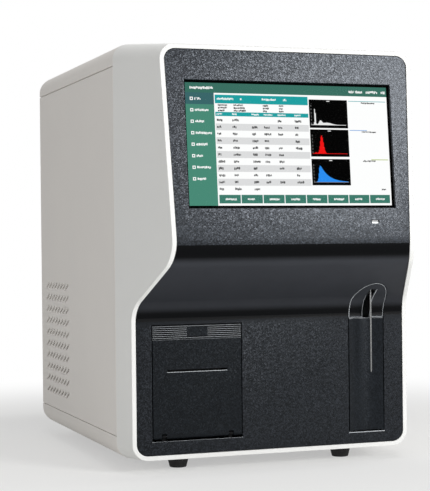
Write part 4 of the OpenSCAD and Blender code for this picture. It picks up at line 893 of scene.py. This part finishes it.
def picture_patches():
    """Patches of the picture: left, top, right and bottom as shares of the lit area, colour and layer."""
    draw = random.Random(11)
    patches = [(-MASK / LIT_W, -MASK / LIT_H, 1 + MASK / LIT_W, 1 + MASK / LIT_H, "#020202", 0)]

    def put(left, top, right, bottom, colour, layer):
        patches.append((left, top, right, bottom, colour, layer))

    def dashes(left, middle, width, colour, tall=0.0125):
        """A word of uneven strokes; it stands for a label and spells nothing."""
        at = left
        while at < left + width:
            stroke = draw.uniform(0.003, 0.0065)
            lift = draw.uniform(-0.15, 0.15) * tall
            half = draw.uniform(0.6, 1.0) * tall / 2
            end = min(at + stroke, left + width)
            put(at, middle + lift - half, end, middle + lift + half, colour, 3)
            at += stroke + draw.uniform(0.0008, 0.0022)

    put(-BLEED, 0, 1, 1, PAGE, 1)
    put(-BLEED, 0, 1, HEADER_FOOT, HEADER, 2)
    dashes(0.013, 0.041, 0.112, PAGE, 0.022)
    for left, width in ((0.804, 0.026), (0.838, 0.036), (0.893, 0.06), (0.972, 0.022)):
        dashes(left, 0.044, width, PAGE, 0.024)
    put(-BLEED, HEADER_FOOT, SIDEBAR_RIGHT, 1, SIDEBAR, 2)
    put(-BLEED, HEADER_FOOT, SIDEBAR_RIGHT, 0.176, CHOSEN, 3)
    for i in range(8):
        middle = 0.1305 + 0.0932 * i
        put(0.012, middle - 0.013, 0.027, middle + 0.013, PAGE, 4)
        put(0.016, middle - 0.006, 0.023, middle + 0.006, CHOSEN if i == 0 else SIDEBAR, 5)
        dashes(0.034, middle, 0.03 + 0.012 * ((i * 3) % 5), PAGE, 0.02)
    put(TABLE_LEFT, 0.095, TABLE_RIGHT, 0.166, TITLE, 2)
    for left, width in ((0.142, 0.08), (0.255, 0.008), (0.362, 0.07), (0.468, 0.016)):
        dashes(left, 0.128, width, PAGE, 0.018)
    for row in range(3):
        for left, width in ((0.146, 0.045), (0.222, 0.066), (0.366, 0.03), (0.446, 0.03)):
            dashes(left, 0.179 + 0.0225 * row, width * draw.uniform(0.6, 1.0), INK, 0.0165)
    put(TABLE_LEFT, 0.236, TABLE_RIGHT, 0.27, TITLE, 2)
    columns = (0.138, 0.213, 0.308, 0.368, 0.437, 0.522)
    for left in columns:
        dashes(left, 0.253, draw.uniform(0.02, 0.045), PAGE, 0.014)
    for row in range(11):
        top = TABLE_TOP + ROW_TALL * row
        if row % 2:
            put(TABLE_LEFT, top, TABLE_RIGHT, top + ROW_TALL, ROW_GREY, 2)
        for column, left in enumerate(columns):
            if draw.random() < (0.95 if column < 2 else 0.72) and not (row == 10 and column > 2):
                dashes(left, top + 0.028, draw.uniform(0.014, 0.036), INK, 0.021)
    spike_plot(put, 0.116, 0.354)
    bell_plot(put, 0.366, 0.594)
    skew_plot(put, 0.613, 0.833)
    put(0.8, 0.121, 0.993, 0.126, "#3aa7ad", 2)
    put(0.8, 0.367, 0.89, 0.372, "#3d8fd8", 2)
    put(0.905, 0.613, 0.993, 0.619, "#a9c046", 2)
    for left, middle, width in ((0.865, 0.137, 0.07), (0.862, 0.382, 0.075), (0.862, 0.628, 0.065)):
        dashes(left, middle, width, INK, 0.014)
    dashes(0.952, 0.866, 0.022, INK, 0.014)
    for i in range(8):
        left = 0.1345 + i * 0.1077
        put(left, 0.912, left + 0.1037, 0.982, BUTTON, 2)
        dashes(left + 0.03, 0.948, draw.uniform(0.03, 0.055), PAGE, 0.018)
    put(SIDEBAR_RIGHT, 0.982, 1, 1, PAGE, 2)
    return patches


def plot_box(put, top, bottom, heights, colour, base_colour):
    """A black plot with ticks, its base line and a filled curve of columns."""
    put(PLOT_LEFT, top, PLOT_RIGHT, bottom, PLOT, 2)
    base = bottom - 0.028
    tall = bottom - top - 0.06
    span = PLOT_RIGHT - PLOT_LEFT
    step = (span - 0.03) / len(heights)
    for i, share in enumerate(heights):
        left = PLOT_LEFT + 0.018 + i * step
        put(left, base - share * tall, left + step, base, colour, 3)
    put(PLOT_LEFT + 0.008, base, PLOT_RIGHT - 0.01, base + 0.0035, base_colour, 3)
    for i in range(6):
        mark = base - (i + 0.5) * tall / 6
        put(PLOT_LEFT + 0.009, mark, PLOT_LEFT + 0.0115, mark + 0.012, TICK, 3)
    put(PLOT_LEFT + span * 0.46, top + 0.008, PLOT_LEFT + span * 0.54, top + 0.016, "#d8d8d8", 3)


def spike_plot(put, top, bottom):
    """A tall narrow peak with a low hump behind it."""
    heights = []
    for i in range(COLUMNS):
        t = i / (COLUMNS - 1)
        spike = 0.85 * math.exp(-((t - 0.055) / 0.022) ** 2)
        hump = 0.17 * math.exp(-((t - 0.22) / 0.06) ** 2)
        tail = 0.1 * math.exp(-((t - 0.42) / 0.2) ** 2)
        heights.append(spike + hump + tail)
    plot_box(put, top, bottom, heights, "#ececec", "#ececec")


def bell_plot(put, top, bottom):
    """One steep bell with a small foot before it."""
    heights = []
    for i in range(COLUMNS):
        t = i / (COLUMNS - 1)
        bell = 0.9 * math.exp(-((t - 0.23) / 0.07) ** 2)
        foot = 0.06 * math.exp(-((t - 0.04) / 0.03) ** 2)
        heights.append(bell + foot)
    plot_box(put, top, bottom, heights, "#f01414", "#f01414")


def skew_plot(put, top, bottom):
    """A peak that climbs fast and falls away slowly."""
    heights = []
    for i in range(COLUMNS):
        t = i / (COLUMNS - 1) + 0.012
        rise = 1 / (1 + math.exp(-(t - 0.11) / 0.018))
        heights.append(1.02 * rise * math.exp(-max(t - 0.13, 0) / 0.24))
    plot_box(put, top, bottom, heights, "#2b8df0", TICK)


def screen_picture():
    """All patches as one mesh just inside the back of the glass."""
    corner = glass_middle + Vector(((LIT_RIGHT - LIT_W / 2) * MM, 0, 0))
    corner += FACE_UP * ((LIT_UP + LIT_H / 2) * MM)
    verts, faces, colours = [], [], []
    for left, top, right, bottom, colour, layer in picture_patches():
        depth = GLASS_T / 2 - BACK_GAP - layer * LAYER
        start = len(verts)
        for u, v in ((left, top), (left, bottom), (right, bottom), (right, top)):
            verts.append(
                corner + Vector((u * LIT_W * MM, 0, 0)) - FACE_UP * (v * LIT_H * MM) + FACE_IN * depth
            )
        faces.append((start, start + 1, start + 2, start + 3))
        colours.append(linear(colour))
    mesh = bpy.data.meshes.new("screen_picture")
    mesh.from_pydata([tuple(v) for v in verts], [], faces)
    patch = mesh.color_attributes.new("patch", "FLOAT_COLOR", "CORNER")
    for i, colour in enumerate(colours):
        for k in range(4):
            patch.data[4 * i + k].color = colour
    mesh.materials.append(picture_light)
    piece = link_mesh("screen_picture", mesh)
    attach(piece, "housing")


screen_picture()


# Stage, light and camera

def soft_box(name, place, target, width, height, radiance):
    """A lamp of this size and radiance at a place, turned to a target, that the camera doesn't see."""
    lamp = bpy.data.lights.new(name, "AREA")
    lamp.shape = "RECTANGLE"
    lamp.size = width
    lamp.size_y = height
    lamp.energy = radiance * math.pi * width * height
    item = bpy.data.objects.new(name, lamp)
    scene.collection.objects.link(item)
    item.location = place
    item.rotation_euler = (Vector(target) - Vector(place)).to_track_quat("-Z", "Y").to_euler()
    item.visible_camera = False


def seen(tree):
    """1 for what the eye, a reflection or clear glass looks at, and 0 for what only lights other things."""
    path = add(tree, "ShaderNodeLightPath")
    rays = path.outputs["Is Camera Ray"]
    for other in ("Is Glossy Ray", "Is Transmission Ray"):
        either = add(tree, "ShaderNodeMath", None, {0: rays, 1: path.outputs[other]}, operation="MAXIMUM")
        rays = either.outputs[0]
    return rays


def pale_floor():
    """A pale floor that keeps the shadow, and runs out to plain white away from the object."""
    # Distances in metres at which it starts to turn white and is all white, and its white share before that
    pale_to, white_from, white_share = 0.35, 0.9, 0.45
    half = 8.0
    below_feet = 0.05 * MM
    material, tree = empty_material("pale_floor")
    place = add(tree, "ShaderNodeTexCoord").outputs["Object"]
    far = add(tree, "ShaderNodeVectorMath", None, {0: place}, operation="LENGTH")
    fade = add(
        tree, "ShaderNodeMapRange",
        {"From Min": pale_to, "From Max": white_from, "To Min": white_share, "To Max": 1.0},
        {"Value": far.outputs["Value"]}, interpolation_type="SMOOTHSTEP",
    )
    share = add(tree, "ShaderNodeMath", None, {0: seen(tree), 1: fade.outputs[0]}, operation="MULTIPLY")
    plain = add(tree, "ShaderNodeBsdfDiffuse", {"Color": linear("#e6e6e4")})
    white = add(tree, "ShaderNodeEmission", {"Color": (1, 1, 1, 1), "Strength": 1.0})
    both = add(
        tree, "ShaderNodeMixShader", None, {0: share.outputs[0], 1: plain.outputs[0], 2: white.outputs[0]}
    )
    add(tree, "ShaderNodeOutputMaterial", None, {"Surface": both.outputs[0]})
    mesh = bpy.data.meshes.new("floor")
    corners = [(-half, -half, 0), (half, -half, 0), (half, half, 0), (-half, half, 0)]
    mesh.from_pydata(corners, [], [(0, 1, 2, 3)])
    mesh.materials.append(material)
    floor = link_mesh("floor", mesh)
    floor.location.z = -below_feet


def white_room(level):
    """A world that lights softly, and shows plain white to the eye and in reflections."""
    world = bpy.data.worlds.new("white_room")
    world.use_nodes = True
    tree = world.node_tree
    tree.nodes.clear()
    soft = add(tree, "ShaderNodeBackground", {"Color": linear("#ffffff"), "Strength": level})
    white = add(tree, "ShaderNodeBackground", {"Color": linear("#ffffff"), "Strength": 1.0})
    both = add(
        tree, "ShaderNodeMixShader", None, {0: seen(tree), 1: soft.outputs[0], 2: white.outputs[0]}
    )
    add(tree, "ShaderNodeOutputWorld", None, {"Surface": both.outputs[0]})
    scene.world = world


def photo_camera():
    """The photograph's view: from the front left, level with the nose, fitted to the object's edges."""
    eye = (-0.56558, -1.56348, 0.24075)
    # Turns from a level view straight to the rear, in degrees: to the right, down and clockwise
    right_turn, nod, lean = 19.62, 0.263, 0.613
    data = bpy.data.cameras.new("photo_camera")
    data.lens = 105.3
    data.sensor_width = 36.0
    data.clip_end = 50.0
    item = bpy.data.objects.new("photo_camera", data)
    scene.collection.objects.link(item)
    yaw = Matrix.Rotation(math.radians(-right_turn), 4, "Z")
    pitch = Matrix.Rotation(math.radians(90 - nod), 4, "X")
    roll = Matrix.Rotation(math.radians(-lean), 4, "Z")
    item.matrix_world = Matrix.Translation(eye) @ yaw @ pitch @ roll
    scene.camera = item


scene.view_settings.view_transform = "Standard"
pale_floor()
white_room(0.34)
FACE = (0.0, -0.2, 0.3)
soft_box("front_right_box", (1.24, -2.3, 0.98), FACE, 0.7, 0.46, 38.0)
soft_box("overhead_strip", (0.1, -0.6, 2.2), (0.0, -0.2, 0.2), 1.6, 0.2, 12.0)
soft_box("left_fill", (-2.3, -0.6, 1.2), (0.0, 0.0, 0.3), 1.2, 1.2, 0.9)
soft_box("front_left_card", (-1.1, -1.6, 0.25), (-0.15, -0.1, 0.15), 0.7, 0.4, 2.2)
soft_box("low_right_card", (0.68, -1.56, 0.16), (0.03, -0.2, 0.15), 0.36, 0.28, 6.5)
soft_box("table_card", (0.05, -0.32, 0.004), (0.05, -0.319, 1.0), 0.6, 0.09, 0.6)
photo_camera()
